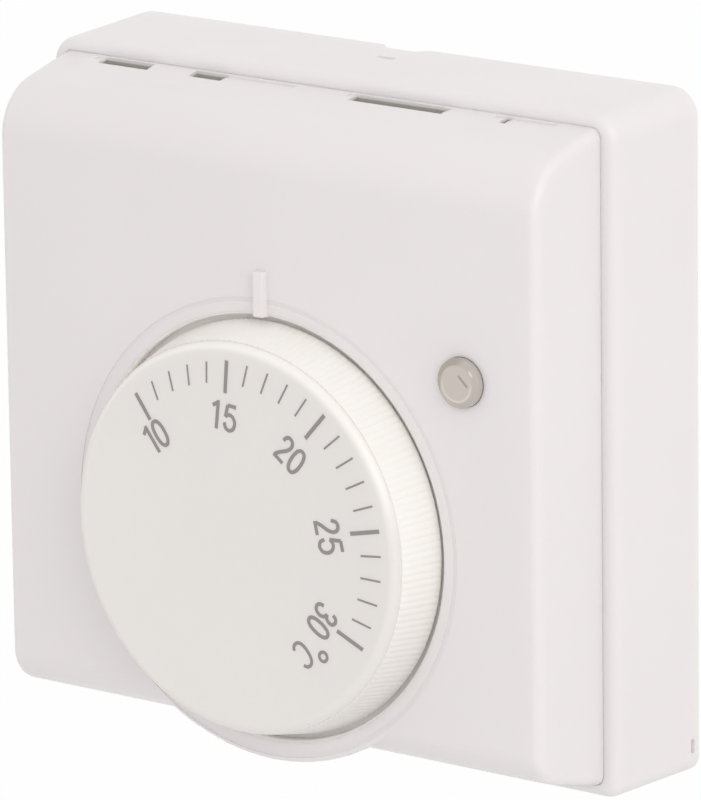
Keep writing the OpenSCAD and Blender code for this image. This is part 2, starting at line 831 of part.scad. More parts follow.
// Temperature dial: a hollow moulding with a hub, stiffening webs and a stop lug
module dial() {
    hub_r = clip_r + 0.3;
    web_z = well_z + pin_rise + 0.6;
    inner_foot_r = dial_foot_r - knurl_depth - dial_skirt_t;
    inner_top_r = dial_top_r - knurl_depth - dial_skirt_t;
    color("ivory") upright()
        translate([0, dial_y, 0])
            difference() {
                union() {
                    difference() {
                        union() {
                            dial_form();
                            knurl_band();
                        }
                        translate([0, 0, dial_foot_z - over])
                            cylinder(over + 0.01, inner_foot_r, inner_foot_r, $fn = 128);
                        translate([0, 0, dial_foot_z])
                            cylinder(dial_under_z - dial_foot_z, inner_foot_r, inner_top_r, $fn = 128);
                    }
                    translate([0, 0, hub_z])
                        cylinder(dial_under_z - hub_z + over, hub_r, hub_r);
                    for (i = [0:5])
                        rotate([0, 0, 60 * i + 22])
                            translate([0, -0.5, web_z])
                                cube([inner_top_r + 0.3, 1, dial_under_z - web_z + over]);
                    rotate([0, 0, lug_turn])
                        translate([stop_radius - 1.4, -lug_w / 2, well_z + 0.6])
                            cube([inner_top_r - stop_radius + 1.6, lug_w,
                                  dial_under_z - well_z - 0.6 + over]);
                }
                intersection() {
                    translate([0, 0, hub_z - over])
                        cylinder(spindle_top_z() + 0.2 - hub_z + over,
                            spindle_r + run_gap, spindle_r + run_gap);
                    translate([-spindle_r - 1, -spindle_r - 1, hub_z - over])
                        cube([2 * spindle_r + 2, spindle_flat() + spindle_r + 1 + run_gap, 12]);
                }
            }
}

// Top of the spindle and the distance of its flat from the axis
function spindle_top_z() = dial_under_z - 0.4;
function spindle_flat() = spindle_r * 0.62;

// Setting spindle: flatted top, groove for the clip, flange and threaded tip
module spindle() {
    groove_r = spindle_r - 0.6;
    flat_z = hub_z - 0.2;
    color("goldenrod") upright()
        translate([0, dial_y, 0])
            difference() {
                union() {
                    translate([0, 0, flange_z + flange_t])
                        cylinder(spindle_top_z() - flange_z - flange_t, spindle_r, spindle_r);
                    translate([0, 0, flange_z])
                        cylinder(flange_t, flange_r, flange_r);
                    translate([0, 0, thread_tip_z])
                        cylinder(flange_z - thread_tip_z, thread_r, thread_r);
                }
                translate([-spindle_r - 1, spindle_flat(), flat_z])
                    cube([2 * spindle_r + 2, spindle_r + 1, spindle_top_z()]);
                translate([0, 0, clip_z - fit_gap / 2])
                    difference() {
                        cylinder(clip_t + fit_gap, spindle_r + 1, spindle_r + 1);
                        translate([0, 0, -over])
                            cylinder(clip_t + fit_gap + 2 * over, groove_r, groove_r);
                    }
            }
}

// Open spring clip in the spindle's groove
module spindle_clip() {
    groove_r = spindle_r - 0.6;
    color("dimgray") upright()
        translate([0, dial_y, clip_z])
            linear_extrude(clip_t)
                difference() {
                    circle(clip_r);
                    circle(groove_r + run_gap);
                    translate([-groove_r * 0.8, 0])
                        square([groove_r * 1.6, clip_r + 1]);
                    for (turn = [200, 340])
                        rotate(turn)
                            translate([clip_r, 0])
                                circle(1);
                }
}

// Outline of the yoke as seen from below, as a bent strip
module yoke_profile() {
    outer_w = 2 * (leg_x + yoke_t);
    height = yoke_z + yoke_t - chassis_top_z;
    outer_r = yoke_bend_r + yoke_t;
    difference() {
        union() {
            translate([0, chassis_top_z + height - outer_r - height / 2])
                square([outer_w, height], center = true);
            translate([0, chassis_top_z + height - outer_r])
                square([outer_w - 2 * outer_r, 2 * outer_r], center = true);
            for (side = [-1, 1])
                translate([side * (outer_w / 2 - outer_r), chassis_top_z + height - outer_r])
                    circle(outer_r);
            translate([-leg_x - yoke_t - foot_l, chassis_top_z])
                square([2 * (leg_x + yoke_t + foot_l), yoke_t]);
            for (side = [-1, 1])
                translate([side * (leg_x + yoke_t + yoke_bend_r / 2),
                           chassis_top_z + yoke_t + yoke_bend_r / 2])
                    difference() {
                        square(yoke_bend_r, center = true);
                        translate([side * yoke_bend_r / 2, yoke_bend_r / 2])
                            circle(yoke_bend_r);
                    }
        }
        translate([-leg_x, chassis_top_z - outer_r - over])
            square([2 * leg_x, height - yoke_t - yoke_bend_r + outer_r + over]);
        translate([-leg_x + yoke_bend_r, chassis_top_z])
            square([2 * (leg_x - yoke_bend_r), height - yoke_t]);
        for (side = [-1, 1])
            translate([side * (leg_x - yoke_bend_r), yoke_z - yoke_bend_r])
                circle(yoke_bend_r);
        translate([-box_w / 2, chassis_top_z - box_depth])
            square([box_w, box_depth]);
    }
}

// Steel yoke that carries the spindle over the capsule
module yoke() {
    color("lightgray") upright()
        translate([0, dial_y, 0])
            difference() {
                rotate([90, 0, 0])
                    linear_extrude(yoke_w, center = true)
                        yoke_profile();
                translate([0, 0, yoke_z - over])
                    cylinder(yoke_t + 2 * over, spindle_r + run_gap, spindle_r + run_gap);
                for (side = [-1, 1])
                    translate([side * yoke_screw_x, 0, chassis_top_z - over])
                        cylinder(yoke_t + 2 * over, screw_r + fit_gap, screw_r + fit_gap);
            }
}

// Screws through the yoke's feet
module yoke_screws() {
    color("silver") upright()
        for (side = [-1, 1])
            translate([side * yoke_screw_x, dial_y, chassis_top_z + yoke_t])
                pan_screw(screw_r, yoke_screw_l, yoke_head_r, screw_head_t);
}

// Carrier of the capsule: threaded hub, two guides on the yoke's legs and three claws
module capsule_carrier() {
    disc_r = 12.5;
    guide_w = yoke_w + 2 * leg_gap + 4;
    guide_x = leg_x + yoke_t + leg_gap + 1.6;
    claw_w = 4;
    lip_t = 0.8;
    lip_l = 1;
    rim_z = capsule_z + capsule_t / 2 - capsule_rim_t() / 2;
    claw_r = capsule_r + fit_gap;
    color("whitesmoke") upright()
        translate([0, dial_y, 0])
            difference() {
                union() {
                    translate([0, 0, carrier_z])
                        cylinder(carrier_t, disc_r, disc_r);
                    translate([0, 0, carrier_z])
                        cylinder(carrier_t + carrier_hub_h, thread_r + 2.2, thread_r + 2.2);
                    translate([-guide_x, -guide_w / 2, carrier_z])
                        cube([2 * guide_x, guide_w, carrier_t]);
                    for (turn = [30, 150, 270])
                        rotate([0, 0, turn]) {
                            translate([disc_r - 2, -claw_w / 2, carrier_z])
                                cube([claw_r + claw_t - disc_r + 2, claw_w, carrier_t]);
                            translate([claw_r, -claw_w / 2, rim_z - fit_gap - lip_t])
                                cube([claw_t, claw_w, carrier_z - rim_z + fit_gap + lip_t + over]);
                            translate([claw_r - lip_l, -claw_w / 2, rim_z - fit_gap - lip_t])
                                cube([lip_l + claw_t, claw_w, lip_t]);
                        }
                }
                translate([0, 0, carrier_z + thread_floor_t])
                    cylinder(carrier_t + carrier_hub_h, thread_r + run_gap, thread_r + run_gap);
                for (side = [-1, 1])
                    translate([side * (leg_x + yoke_t / 2), 0, carrier_z + carrier_t / 2])
                        cube([yoke_t + 2 * leg_gap, yoke_w + 2 * leg_gap, carrier_t + 2 * over],
                            center = true);
            }
}

// Thickness of the capsule's welded rim
function capsule_rim_t() = 1;

// Height of the capsule's wall above its middle plane: flat centre, waves and a flat rim
function capsule_wall(r) =
    r > capsule_r - 1.7 ? capsule_rim_t() / 2 :
    r < 5 ? capsule_t / 2 :
    capsule_t / 2 - 0.55 - 0.3 * cos((r - 5) * 360 / 3.1) - max(0, r - capsule_r + 3.4) * 0.6;

// Sealed capsule of two waved metal shells, filled with vapour
module capsule() {
    step = 0.5;
    steps = floor((capsule_r - 1.7) / step);
    mid_z = capsule_z + capsule_t / 2;
    upper = [for (i = [0:steps]) [i * step, capsule_wall(i * step)]];
    color("peru") upright()
        translate([0, dial_y, 0])
            rotate_extrude($fn = 96)
                polygon(concat(
                    [for (p = upper) [p[0], mid_z + p[1]]],
                    [[capsule_r - 1.6, mid_z + capsule_rim_t() / 2]],
                    [[capsule_r, mid_z + capsule_rim_t() / 2]],
                    [[capsule_r, mid_z - capsule_rim_t() / 2]],
                    [[capsule_r - 1.6, mid_z - capsule_rim_t() / 2]],
                    [for (i = [steps:-1:0]) [upper[i][0], mid_z - upper[i][1]]]
                ));
}

// Stud on the capsule's lower shell, which presses the switch button as the vapour expands
module pressure_stud() {
    stud_r = 1.1;
    flange_t = 0.25;
    color("tan") upright()
        translate([0, dial_y, nose_z]) {
            cylinder(nose_l, stud_r, stud_r);
            translate([0, 0, nose_l - flange_t])
                cylinder(flange_t, stud_r + 1.2, stud_r + 1.2);
        }
}

// Chassis plate that carries the switch, the yoke and the lamp
module chassis() {
    wing_x = leg_x + yoke_t + foot_l + 0.6;
    main_h = chassis_high_y - chassis_low_y;
    seat_w = strip_w - 0.6;
    socket_r = bulb_r + run_gap + socket_wall;
    color("ghostwhite") upright() {
        difference() {
            union() {
                translate([0, 0, chassis_z])
                    linear_extrude(chassis_t) {
                        translate([0, chassis_low_y + main_h / 2])
                            rounded_rect(2 * chassis_half_w, main_h, 2);
                        translate([0, dial_y])
                            rounded_rect(2 * wing_x, 2 * wing_half_h, 1.5);
                        translate([(arm_x0 + arm_x1) / 2, lamp_y])
                            rounded_rect(arm_x1 - arm_x0, 2 * arm_half_h, 2);
                    }
                for (side = [-1, 1])
                    translate([side * yoke_screw_x, dial_y, chassis_z - 3.2])
                        cylinder(3.2 + over, screw_r + 1.2, screw_r + 1.2);
                translate([lamp_x, lamp_y, chassis_top_z - over])
                    cylinder(socket_h + over, socket_r, socket_r);
                translate([break_x - seat_w / 2, dial_y - 3, lower_strip_z + strip_t])
                    cube([seat_w, 6, chassis_z - lower_strip_z - strip_t + over]);
                translate([break_x - seat_w / 2, chassis_high_y - 4, lower_strip_z + strip_t])
                    cube([seat_w, 4, chassis_z - lower_strip_z - strip_t + over]);
            }
            for (p = chassis_posts)
                translate([p[0], p[1], chassis_z - over])
                    cylinder(chassis_t + 2 * over, screw_r + fit_gap, screw_r + fit_gap);
            for (side = [-1, 1])
                translate([side * yoke_screw_x, dial_y, chassis_z - 3.2 - over])
                    cylinder(chassis_t + 3.2 + 2 * over, screw_r + run_gap, screw_r + run_gap);
            translate([cover_screw_x, cover_screw_y, chassis_z - over])
                cylinder(chassis_t + 2 * over, cover_post_r + 0.4, cover_post_r + 0.4);
            translate([0, dial_y, chassis_z - over])
                cylinder(chassis_t + 2 * over, button_r + run_gap, button_r + run_gap);
            translate([lamp_x, lamp_y, chassis_top_z])
                cylinder(socket_h + over, bulb_r + run_gap, bulb_r + run_gap);
            for (side = [-1, 1])
                translate([lamp_x + side * lead_x(), lamp_y, chassis_z - over])
                    cylinder(chassis_t + 2 * over, wire_r() + fit_gap, wire_r() + fit_gap, $fn = 24);
            for (side = [-1, 1])
                translate([side * heater_lead_x(), heater_y(), chassis_z - over])
                    cylinder(chassis_t + 2 * over, 0.45, 0.45, $fn = 24);
        }
    }
}

// Screws that hold the chassis to the posts of the box
module chassis_screws() {
    color("silver") upright()
        for (p = chassis_posts)
            translate([p[0], p[1], chassis_top_z])
                pan_screw(screw_r, chassis_screw_l, screw_head_r, screw_head_t);
}

// Terminal block with one open chamber for each clamp
module terminal_block() {
    screw_well_r = terminal_head_r + 0.3;
    color("gray") upright()
        difference() {
            translate([-block_w / 2, block_y, block_z])
                cube([block_w, block_l, block_top_z - block_z]);
            for (i = [0:terminal_count - 1])
                translate([terminal_x(i), 0, 0]) {
                    translate([-chamber_w / 2, block_y - over, chamber_z])
                        cube([chamber_w, chamber_l + over, chamber_top_z - chamber_z]);
                    translate([0, clamp_y, chamber_top_z - over])
                        cylinder(block_top_z - chamber_top_z + 2 * over, screw_well_r, screw_well_r);
                }
            for (i = [0:terminal_count - 2])
                translate([(terminal_x(i) + terminal_x(i + 1)) / 2 - 0.6, block_y - over, chamber_top_z])
                    cube([1.2, block_l + 2 * over, block_top_z - chamber_top_z + over]);
            for (side = [-1, 1])
                translate([side * (block_w / 2 - block_side), block_y + block_l - peg_from_end,
                           block_z - over])
                    cylinder(over + peg_h + 0.3, peg_r + run_gap, peg_r + run_gap);
        }
}

// Brass cage clamps, one in each chamber
module terminal_clamps() {
    color("gold") upright()
        for (i = [0:terminal_count - 1])
            translate([terminal_x(i), clamp_y, 0])
                difference() {
                    translate([-clamp_w / 2, -clamp_l / 2, clamp_z])
                        cube([clamp_w, clamp_l, clamp_top_z - clamp_z]);
                    translate([-clamp_w / 2 + clamp_wall, -clamp_l / 2 - over, clamp_z + clamp_wall])
                        cube([clamp_w - 2 * clamp_wall, clamp_l + 2 * over,
                              clamp_top_z - clamp_z - 2 * clamp_wall]);
                    translate([0, 0, clamp_top_z - clamp_wall - over])
                        cylinder(clamp_wall + 2 * over,
                            terminal_screw_r + run_gap, terminal_screw_r + run_gap);
                }
}

// Terminal screws, one for each clamp
module terminal_screws() {
    head_z = chamber_top_z + 0.2;
    shank_l = head_z - strip_z - strip_t - 0.1;
    color("silver") upright()
        for (i = [0:terminal_count - 1])
            translate([terminal_x(i), clamp_y, head_z])
                pan_screw(terminal_screw_r, shank_l, terminal_head_r, terminal_head_t);
}

// Flat strip outline from a terminal down to a height, then across to a place
module strip_outline(column_x, end_x, end_y, tab_half) {
    translate([column_x - strip_w / 2, end_y - tab_half])
        square([strip_w, strip_end_y - end_y + tab_half]);
    translate([min(column_x, end_x), end_y - tab_half])
        square([abs(end_x - column_x), 2 * tab_half]);
}

// Strip from the first terminal to the blade's pivot post
module common_strip() {
    post_t = 0.5;
    post_half = 3.4;
    post_z = blade_z - 0.9;
    slot_half = bead_r() + 0.06;
    color("darkgoldenrod") upright() {
        translate([0, 0, strip_z])
            linear_extrude(strip_t)
                strip_outline(common_x, -pivot_x + post_t / 2, dial_y, post_half);
        difference() {
            translate([-pivot_x - post_t / 2, dial_y - post_half, post_z])
                cube([post_t, 2 * post_half, strip_z - post_z + strip_t / 2]);
            translate([-pivot_x - post_t, dial_y - blade_neck() / 2 - fit_gap,
                blade_z + blade_t / 2 - slot_half])
                cube([2 * post_t, blade_neck() + 2 * fit_gap, 2 * slot_half]);
        }
    }
}

// Strip from the third terminal to the upper contact
module make_strip() {
    color("darkgoldenrod") upright()
        translate([0, 0, strip_z])
            linear_extrude(strip_t)
                difference() {
                    strip_outline(make_x, contact_x + contact_r + 0.4, dial_y, 2.4);
                    translate([contact_x, dial_y])
                        circle(rivet_r, $fn = 32);
                }
}

// Strip from the fourth terminal, stepped down to the lower contact
module break_strip() {
    x0 = break_x - strip_w / 2;
    color("darkgoldenrod") upright() {
        translate([x0, step_y, strip_z])
            cube([strip_w, strip_end_y - step_y, strip_t]);
        translate([x0, step_y, lower_strip_z])
            cube([strip_w, strip_t, strip_z - lower_strip_z + strip_t]);
        translate([0, 0, lower_strip_z])
            linear_extrude(strip_t)
                difference() {
                    union() {
                        translate([x0, dial_y - 2.4])
                            square([strip_w, step_y - dial_y + 2.4 + strip_t]);
                        translate([contact_x - contact_r - 0.4, dial_y - 2.4])
                            square([break_x - contact_x, 4.8]);
                    }
                    translate([contact_x, dial_y])
                        circle(rivet_r, $fn = 32);
                }
    }
}

// Silver rivets in the two fixed strips
module fixed_contacts() {
    color("silver") upright()
        translate([contact_x, dial_y, 0]) {
            translate([0, 0, strip_z - contact_t])
                cylinder(contact_t, contact_r - 0.2, contact_r, $fn = 32);
            translate([0, 0, strip_z])
                cylinder(strip_t, rivet_r, rivet_r, $fn = 32);
            translate([0, 0, lower_contact_z - dome_t])
                cylinder(dome_t, contact_r, contact_r - 0.2, $fn = 32);
            translate([0, 0, lower_strip_z])
                cylinder(strip_t, rivet_r, rivet_r, $fn = 32);
        }
}

// Width of the blade's neck in the pivot post, and radius of the bead that it rocks on
function blade_neck() = 3;
function bead_r() = 0.3;

// Springy moving blade, cut out around its snap tongue
module contact_blade() {
    blade_w = 4.8;
    neck_l = 0.6;
    shoulder_x = -pivot_x + 0.6;
    tip_x = contact_x + contact_r + 0.3;
    color("orange") upright()
        translate([0, dial_y, blade_z]) {
            translate([-pivot_x, blade_neck() / 2, blade_t / 2])
                rotate([90, 0, 0])
                    cylinder(blade_neck(), bead_r(), bead_r(), $fn = 32);
            linear_extrude(blade_t)
                difference() {
                    union() {
                        translate([-pivot_x - neck_l, -blade_neck() / 2])
                            square([neck_l + 0.7, blade_neck()]);
                        translate([shoulder_x, -blade_w / 2])
                            square([tip_x - shoulder_x, blade_w]);
                    }
                    for (side = [-1, 1])
                        translate([1.6, side * 1.35 - 0.25])
                            square([contact_x - 3.6, 0.5]);
                    translate([1.6, -1.6])
                        square([0.6, 3.2]);
                    translate([contact_x, 0])
                        circle(rivet_r, $fn = 32);
                }
        }
}

// Silver rivet at the blade's tip, domed on both sides
module moving_contact() {
    color("silver") upright()
        translate([contact_x, dial_y, 0]) {
            translate([0, 0, blade_top_z])
                cylinder(dome_t, contact_r - 0.1, contact_r - 0.5, $fn = 32);
            translate([0, 0, blade_z])
                cylinder(blade_t, rivet_r, rivet_r, $fn = 32);
            translate([0, 0, blade_z - dome_t])
                cylinder(dome_t, contact_r - 0.5, contact_r - 0.1, $fn = 32);
        }
}

// Button between the capsule's nose and the blade
module switch_button() {
    tip_r = 0.6;
    collar_t = 0.3;
    collar_z = chassis_z - 0.05 - collar_t;
    tip_z = blade_top_z + 0.02;
    color("crimson") upright()
        translate([0, dial_y, 0]) {
            translate([0, 0, collar_z])
                cylinder(button_top_z - collar_z, button_r, button_r);
            translate([0, 0, collar_z])
                cylinder(collar_t, button_r + 0.8, button_r + 0.8);
            translate([0, 0, tip_z + tip_r])
                cylinder(collar_z - tip_z - tip_r + collar_t / 2, tip_r, tip_r, $fn = 32);
            translate([0, 0, tip_z + tip_r])
                sphere(tip_r, $fn = 32);
        }
}

// Distance of each lamp lead from the lamp's axis, and the radius of a wire
function lead_x() = 0.9;
function wire_r() = 0.5;

// Glass envelope of the lamp, hollow, with a round tip
module neon_lamp() {
    inner_r = bulb_r - bulb_wall;
    color("lightblue", 0.5) upright()
        translate([lamp_x, lamp_y, 0])
            difference() {
                union() {
                    translate([0, 0, bulb_z])
                        cylinder(bulb_tip_z - bulb_r - bulb_z, bulb_r, bulb_r);
                    translate([0, 0, bulb_tip_z - bulb_r])
                        sphere(bulb_r);
                }
                translate([0, 0, bulb_z + 1.4])
                    cylinder(bulb_tip_z - bulb_r - bulb_z - 1.4, inner_r, inner_r);
                translate([0, 0, bulb_tip_z - bulb_r])
                    sphere(inner_r);
            }
}

// Two flat electrodes inside the lamp, with their leads down to the chassis
module lamp_electrodes() {
    plate_w = 1.9;
    plate_t = 0.35;
    plate_l = 7;
    color("dimgray") upright()
        translate([lamp_x, lamp_y, 0])
            rotate([0, 0, -38])
                for (side = [-1, 1])
                    translate([-plate_w / 2, side * 0.55 - plate_t / 2, bulb_tip_z - 1.2 - plate_l])
                        cube([plate_w, plate_t, plate_l]);
}

// Height of the lane in which the wires cross below the terminal block
function lane_y() = block_y - 1;

// Place and length of the resistor in the lamp's first lead, and length of its end caps
function resistor_x() = lamp_x - 3.2;
function resistor_y() = lane_y() - 6.6;
function resistor_z() = chassis_z - 2;
function resistor_l() = 6;
function resistor_cap_l() = 1.4;

// Series resistor of the lamp, below the chassis arm
module lamp_resistor() {
    color("burlywood") upright()
        translate([resistor_x(), resistor_y() - resistor_l() / 2, resistor_z()])
            rotate([-90, 0, 0]) {
                cylinder(resistor_l(), 1, 1);
                cylinder(resistor_cap_l(), 1.2, 1.2);
                translate([0, 0, resistor_l() - resistor_cap_l()])
                    cylinder(resistor_cap_l(), 1.2, 1.2);
            }
}

// Wires of the lamp: from its socket through the resistor to one clamp, and to the next clamp
module lamp_wires() {
    r = wire_r();
    low_z = clamp_z + clamp_wall + r + 0.1;
    high_z = strip_z - r - 0.1;
    start_z = bulb_z - r;
    clamp_end = clamp_y + 1;
    color("slategray") upright() {
        wire([
            [lamp_x - lead_x(), lamp_y, start_z],
            [lamp_x - lead_x(), lamp_y, resistor_z()],
            [lamp_x - lead_x(), resistor_y() - resistor_l() / 2 - 1.4, resistor_z()],
            [resistor_x(), resistor_y() - resistor_l() / 2 - 1.4, resistor_z()],
            [resistor_x(), resistor_y() - resistor_l() / 2 - r, resistor_z()]
        ], r);
        wire([
            [resistor_x(), resistor_y() + resistor_l() / 2 + r, resistor_z()],
            [resistor_x(), lane_y(), high_z],
            [make_x, lane_y(), high_z],
            [make_x, clamp_end, high_z]
        ], r);
        wire([
            [lamp_x + lead_x(), lamp_y, start_z],
            [lamp_x + lead_x(), lamp_y, low_z],
            [lamp_x + lead_x(), lane_y(), low_z],
            [neutral_x, lane_y(), low_z],
            [neutral_x, clamp_end, low_z]
        ], r);
    }
}

// Place of the heater resistor's middle and of its leads
function heater_y() = dial_y - capsule_r - 4;
function heater_lead_x() = 6.6;

// Small resistor that warms the capsule while the contacts are closed
module heater_resistor() {
    body_r = 1.4;
    body_l = 9;
    lead_r = 0.35;
    z0 = chassis_top_z + body_r + 0.1;
    color("seagreen") upright() {
        translate([-body_l / 2, heater_y(), z0])
            rotate([0, 90, 0])
                cylinder(body_l, body_r, body_r);
        for (side = [-1, 1])
            wire([
                [side * body_l / 2, heater_y(), z0],
                [side * heater_lead_x(), heater_y(), z0],
                [side * heater_lead_x(), heater_y(), chassis_z - 1]
            ], lead_r);
    }
}

base();
cover();
indicator_lens();
cover_screw();
range_pins();
dial();
spindle();
spindle_clip();
yoke();
yoke_screws();
capsule_carrier();
capsule();
pressure_stud();
chassis();
chassis_screws();
terminal_block();
terminal_clamps();
terminal_screws();
common_strip();
make_strip();
break_strip();
fixed_contacts();
contact_blade();
moving_contact();
switch_button();
neon_lamp();
lamp_electrodes();
lamp_resistor();
lamp_wires();
heater_resistor();
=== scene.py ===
import json
import math
from types import SimpleNamespace

import bmesh
import bpy
from mathutils import Matrix, Vector


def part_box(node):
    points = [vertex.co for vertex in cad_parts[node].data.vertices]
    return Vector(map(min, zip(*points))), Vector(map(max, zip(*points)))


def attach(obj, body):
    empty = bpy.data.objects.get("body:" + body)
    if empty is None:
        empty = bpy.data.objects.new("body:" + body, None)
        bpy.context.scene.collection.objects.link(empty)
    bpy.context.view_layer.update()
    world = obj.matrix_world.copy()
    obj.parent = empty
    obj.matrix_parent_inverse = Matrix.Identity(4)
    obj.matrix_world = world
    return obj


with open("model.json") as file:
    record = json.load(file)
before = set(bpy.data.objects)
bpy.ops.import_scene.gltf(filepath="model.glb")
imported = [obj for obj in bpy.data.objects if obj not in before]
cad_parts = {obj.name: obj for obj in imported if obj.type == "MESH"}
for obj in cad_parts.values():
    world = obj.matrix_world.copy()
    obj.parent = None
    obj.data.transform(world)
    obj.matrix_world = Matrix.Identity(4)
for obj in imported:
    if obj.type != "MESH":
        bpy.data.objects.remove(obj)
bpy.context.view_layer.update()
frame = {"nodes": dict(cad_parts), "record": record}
nodes = frame["nodes"]

# Lengths are in metres, as in the frame
MM = 0.001
# A texture or a scale that is the same along x, y and z
EVEN = (1, 1, 1)
WHITE = (1, 1, 1, 1)


# Building blocks of the materials

# Parts of a noise's range over which colour and gloss change
TONE_RANGE = (0.35, 0.65)
GLOSS_RANGE = (0.3, 0.7)


def rgb(r, g, b):
    """Display colour, 0 to 255, as the linear colour a shader takes."""
    def linear(v):
        v /= 255
        return v / 12.92 if v <= 0.04045 else ((v + 0.055) / 1.055) ** 2.4
    return (linear(r), linear(g), linear(b), 1.0)


def shader_input(mat, name):
    """Socket of a material's main shader."""
    return mat.node_tree.nodes["Principled BSDF"].inputs[name]


def new_material(name, color, roughness, **inputs):
    """Principled material with its numbers set on the shader's own sockets."""
    mat = bpy.data.materials.new(name)
    mat.use_nodes = True
    shader_input(mat, "Base Color").default_value = color
    shader_input(mat, "Roughness").default_value = roughness
    for key, value in inputs.items():
        shader_input(mat, key.replace("_", " ")).default_value = value
    mat.diffuse_color = color
    return mat


def feed(tree, sockets, values):
    """Gives inputs their values in order, each from a socket or as a plain value."""
    for socket, value in zip(sockets, values):
        if hasattr(value, "is_output"):
            tree.links.new(value, socket)
        else:
            socket.default_value = value


def number_node(tree, operation, *values):
    """Maths on numbers."""
    node = tree.nodes.new("ShaderNodeMath")
    node.operation = operation
    feed(tree, node.inputs, values)
    return node.outputs[0]


def vector_node(tree, operation, *values):
    """Maths on vectors, which gives a number where the operation does."""
    node = tree.nodes.new("ShaderNodeVectorMath")
    node.operation = operation
    feed(tree, node.inputs, values)
    return node.outputs["Value" if operation in ("LENGTH", "DOT_PRODUCT") else "Vector"]


def step_between(tree, value, low, high, to_low=0.0, to_high=1.0, interpolation="SMOOTHSTEP"):
    """Goes from one number to another while the value passes from low to high."""
    node = tree.nodes.new("ShaderNodeMapRange")
    node.interpolation_type = interpolation
    for key, number in (("From Min", low), ("From Max", high), ("To Min", to_low), ("To Max", to_high)):
        node.inputs[key].default_value = number
    tree.links.new(value, node.inputs["Value"])
    return node.outputs["Result"]


def overlap(tree, mask, *others):
    """One where every mask is one."""
    for other in others:
        mask = number_node(tree, "MULTIPLY", mask, other)
    return mask


def band(tree, value, low, high, soft=0.05 * MM):
    """One where the value lies between two limits."""
    return overlap(tree, step_between(tree, value, low - soft, low + soft),
                   step_between(tree, value, high - soft, high + soft, 1.0, 0.0))


def noise(tree, scale, detail=2.0, stretch=EVEN):
    """Noise in object coordinates, stretched along an axis where asked."""
    place = tree.nodes.new("ShaderNodeTexCoord")
    mapping = tree.nodes.new("ShaderNodeMapping")
    mapping.inputs["Scale"].default_value = stretch
    texture = tree.nodes.new("ShaderNodeTexNoise")
    texture.inputs["Scale"].default_value = scale
    texture.inputs["Detail"].default_value = detail
    tree.links.new(place.outputs["Object"], mapping.inputs["Vector"])
    tree.links.new(mapping.outputs["Vector"], texture.inputs["Vector"])
    return texture.outputs["Fac"]


def blend_tones(tree, share, first, second, start=0.0, end=1.0):
    """Goes from one colour to another while the share passes from start to end."""
    ramp = tree.nodes.new("ShaderNodeValToRGB")
    for element, position, color in zip(ramp.color_ramp.elements, (start, end), (first, second)):
        element.position = position
        element.color = color
    tree.links.new(share, ramp.inputs["Fac"])
    return ramp.outputs["Color"]


def vary_color(mat, color, scale, change):
    """Lets the colour drift a little between a darker and a lighter tone."""
    darker, lighter = (tuple(min(1, v * factor) for v in color[:3]) + (1,)
                       for factor in (1 - change, 1 + change))
    tree = mat.node_tree
    drift = blend_tones(tree, noise(tree, scale), darker, lighter, *TONE_RANGE)
    tree.links.new(drift, shader_input(mat, "Base Color"))


def vary_gloss(mat, texture, less, more):
    """Lets the roughness wander around its number as a noise does."""
    tree = mat.node_tree
    socket = shader_input(mat, "Roughness")
    middle = socket.default_value
    wander = step_between(tree, texture, *GLOSS_RANGE, middle - less, middle + more, "LINEAR")
    tree.links.new(wander, socket)


def add_bump(mat, layers, strength, normal=None):
    """Surface grain: each layer is a noise scale with its height and its stretch."""
    tree = mat.node_tree
    for scale, height, stretch in layers:
        bump = tree.nodes.new("ShaderNodeBump")
        bump.inputs["Strength"].default_value = strength
        bump.inputs["Distance"].default_value = height
        tree.links.new(noise(tree, scale, detail=3.0, stretch=stretch), bump.inputs["Height"])
        if normal:
            tree.links.new(normal, bump.inputs["Normal"])
        normal = bump.outputs["Normal"]
    tree.links.new(normal, shader_input(mat, "Normal"))


# Sockets of a mix node: its first value, its second value and its result
MIX_SOCKETS = {"VECTOR": (4, 5, 1), "RGBA": (6, 7, 2)}


def mix_node(tree, kind, share, first, second):
    """Mixes two vectors or colours by a share from 0 to 1."""
    mix = tree.nodes.new("ShaderNodeMix")
    mix.data_type = kind
    first_socket, second_socket, result = MIX_SOCKETS[kind]
    sockets = (mix.inputs["Factor"], mix.inputs[first_socket], mix.inputs[second_socket])
    feed(tree, sockets, (share, first, second))
    return mix.outputs[result]


def tint(mat, share, color):
    """Mixes a colour into what the material has, by a share from 0 to 1."""
    tree = mat.node_tree
    socket = shader_input(mat, "Base Color")
    before = socket.links[0].from_socket
    tree.links.new(mix_node(tree, "RGBA", share, before, color), socket)


def axes_from(tree, centre):
    """Object coordinates x, y and z, with the way across from a centre and its length, seen along y."""
    place = tree.nodes.new("ShaderNodeTexCoord").outputs["Object"]
    split = tree.nodes.new("ShaderNodeSeparateXYZ")
    tree.links.new(place, split.inputs[0])
    radial = vector_node(tree, "MULTIPLY", vector_node(tree, "SUBTRACT", place, centre), (1, 0, 1))
    return SimpleNamespace(x=split.outputs["X"], y=split.outputs["Y"], z=split.outputs["Z"],
                           radial=radial, reach=vector_node(tree, "LENGTH", radial))


# Kinds of material

# Moulding grain: noise scale and height
FINE_GRAIN = (2600, 0.004 * MM)
COARSE_GRAIN = (1800, 0.01 * MM)
# Slow waves that every moulding has, and the lines of metal
MOULD_WAVES = (220, 0.01 * MM)
METAL_LINES = (1500, 0.006 * MM)
# Light goes a little way into the white plastics
GLOW = {"Subsurface_Weight": 0.3, "Subsurface_Radius": (1.0, 0.9, 0.8), "Subsurface_Scale": 1.5 * MM}


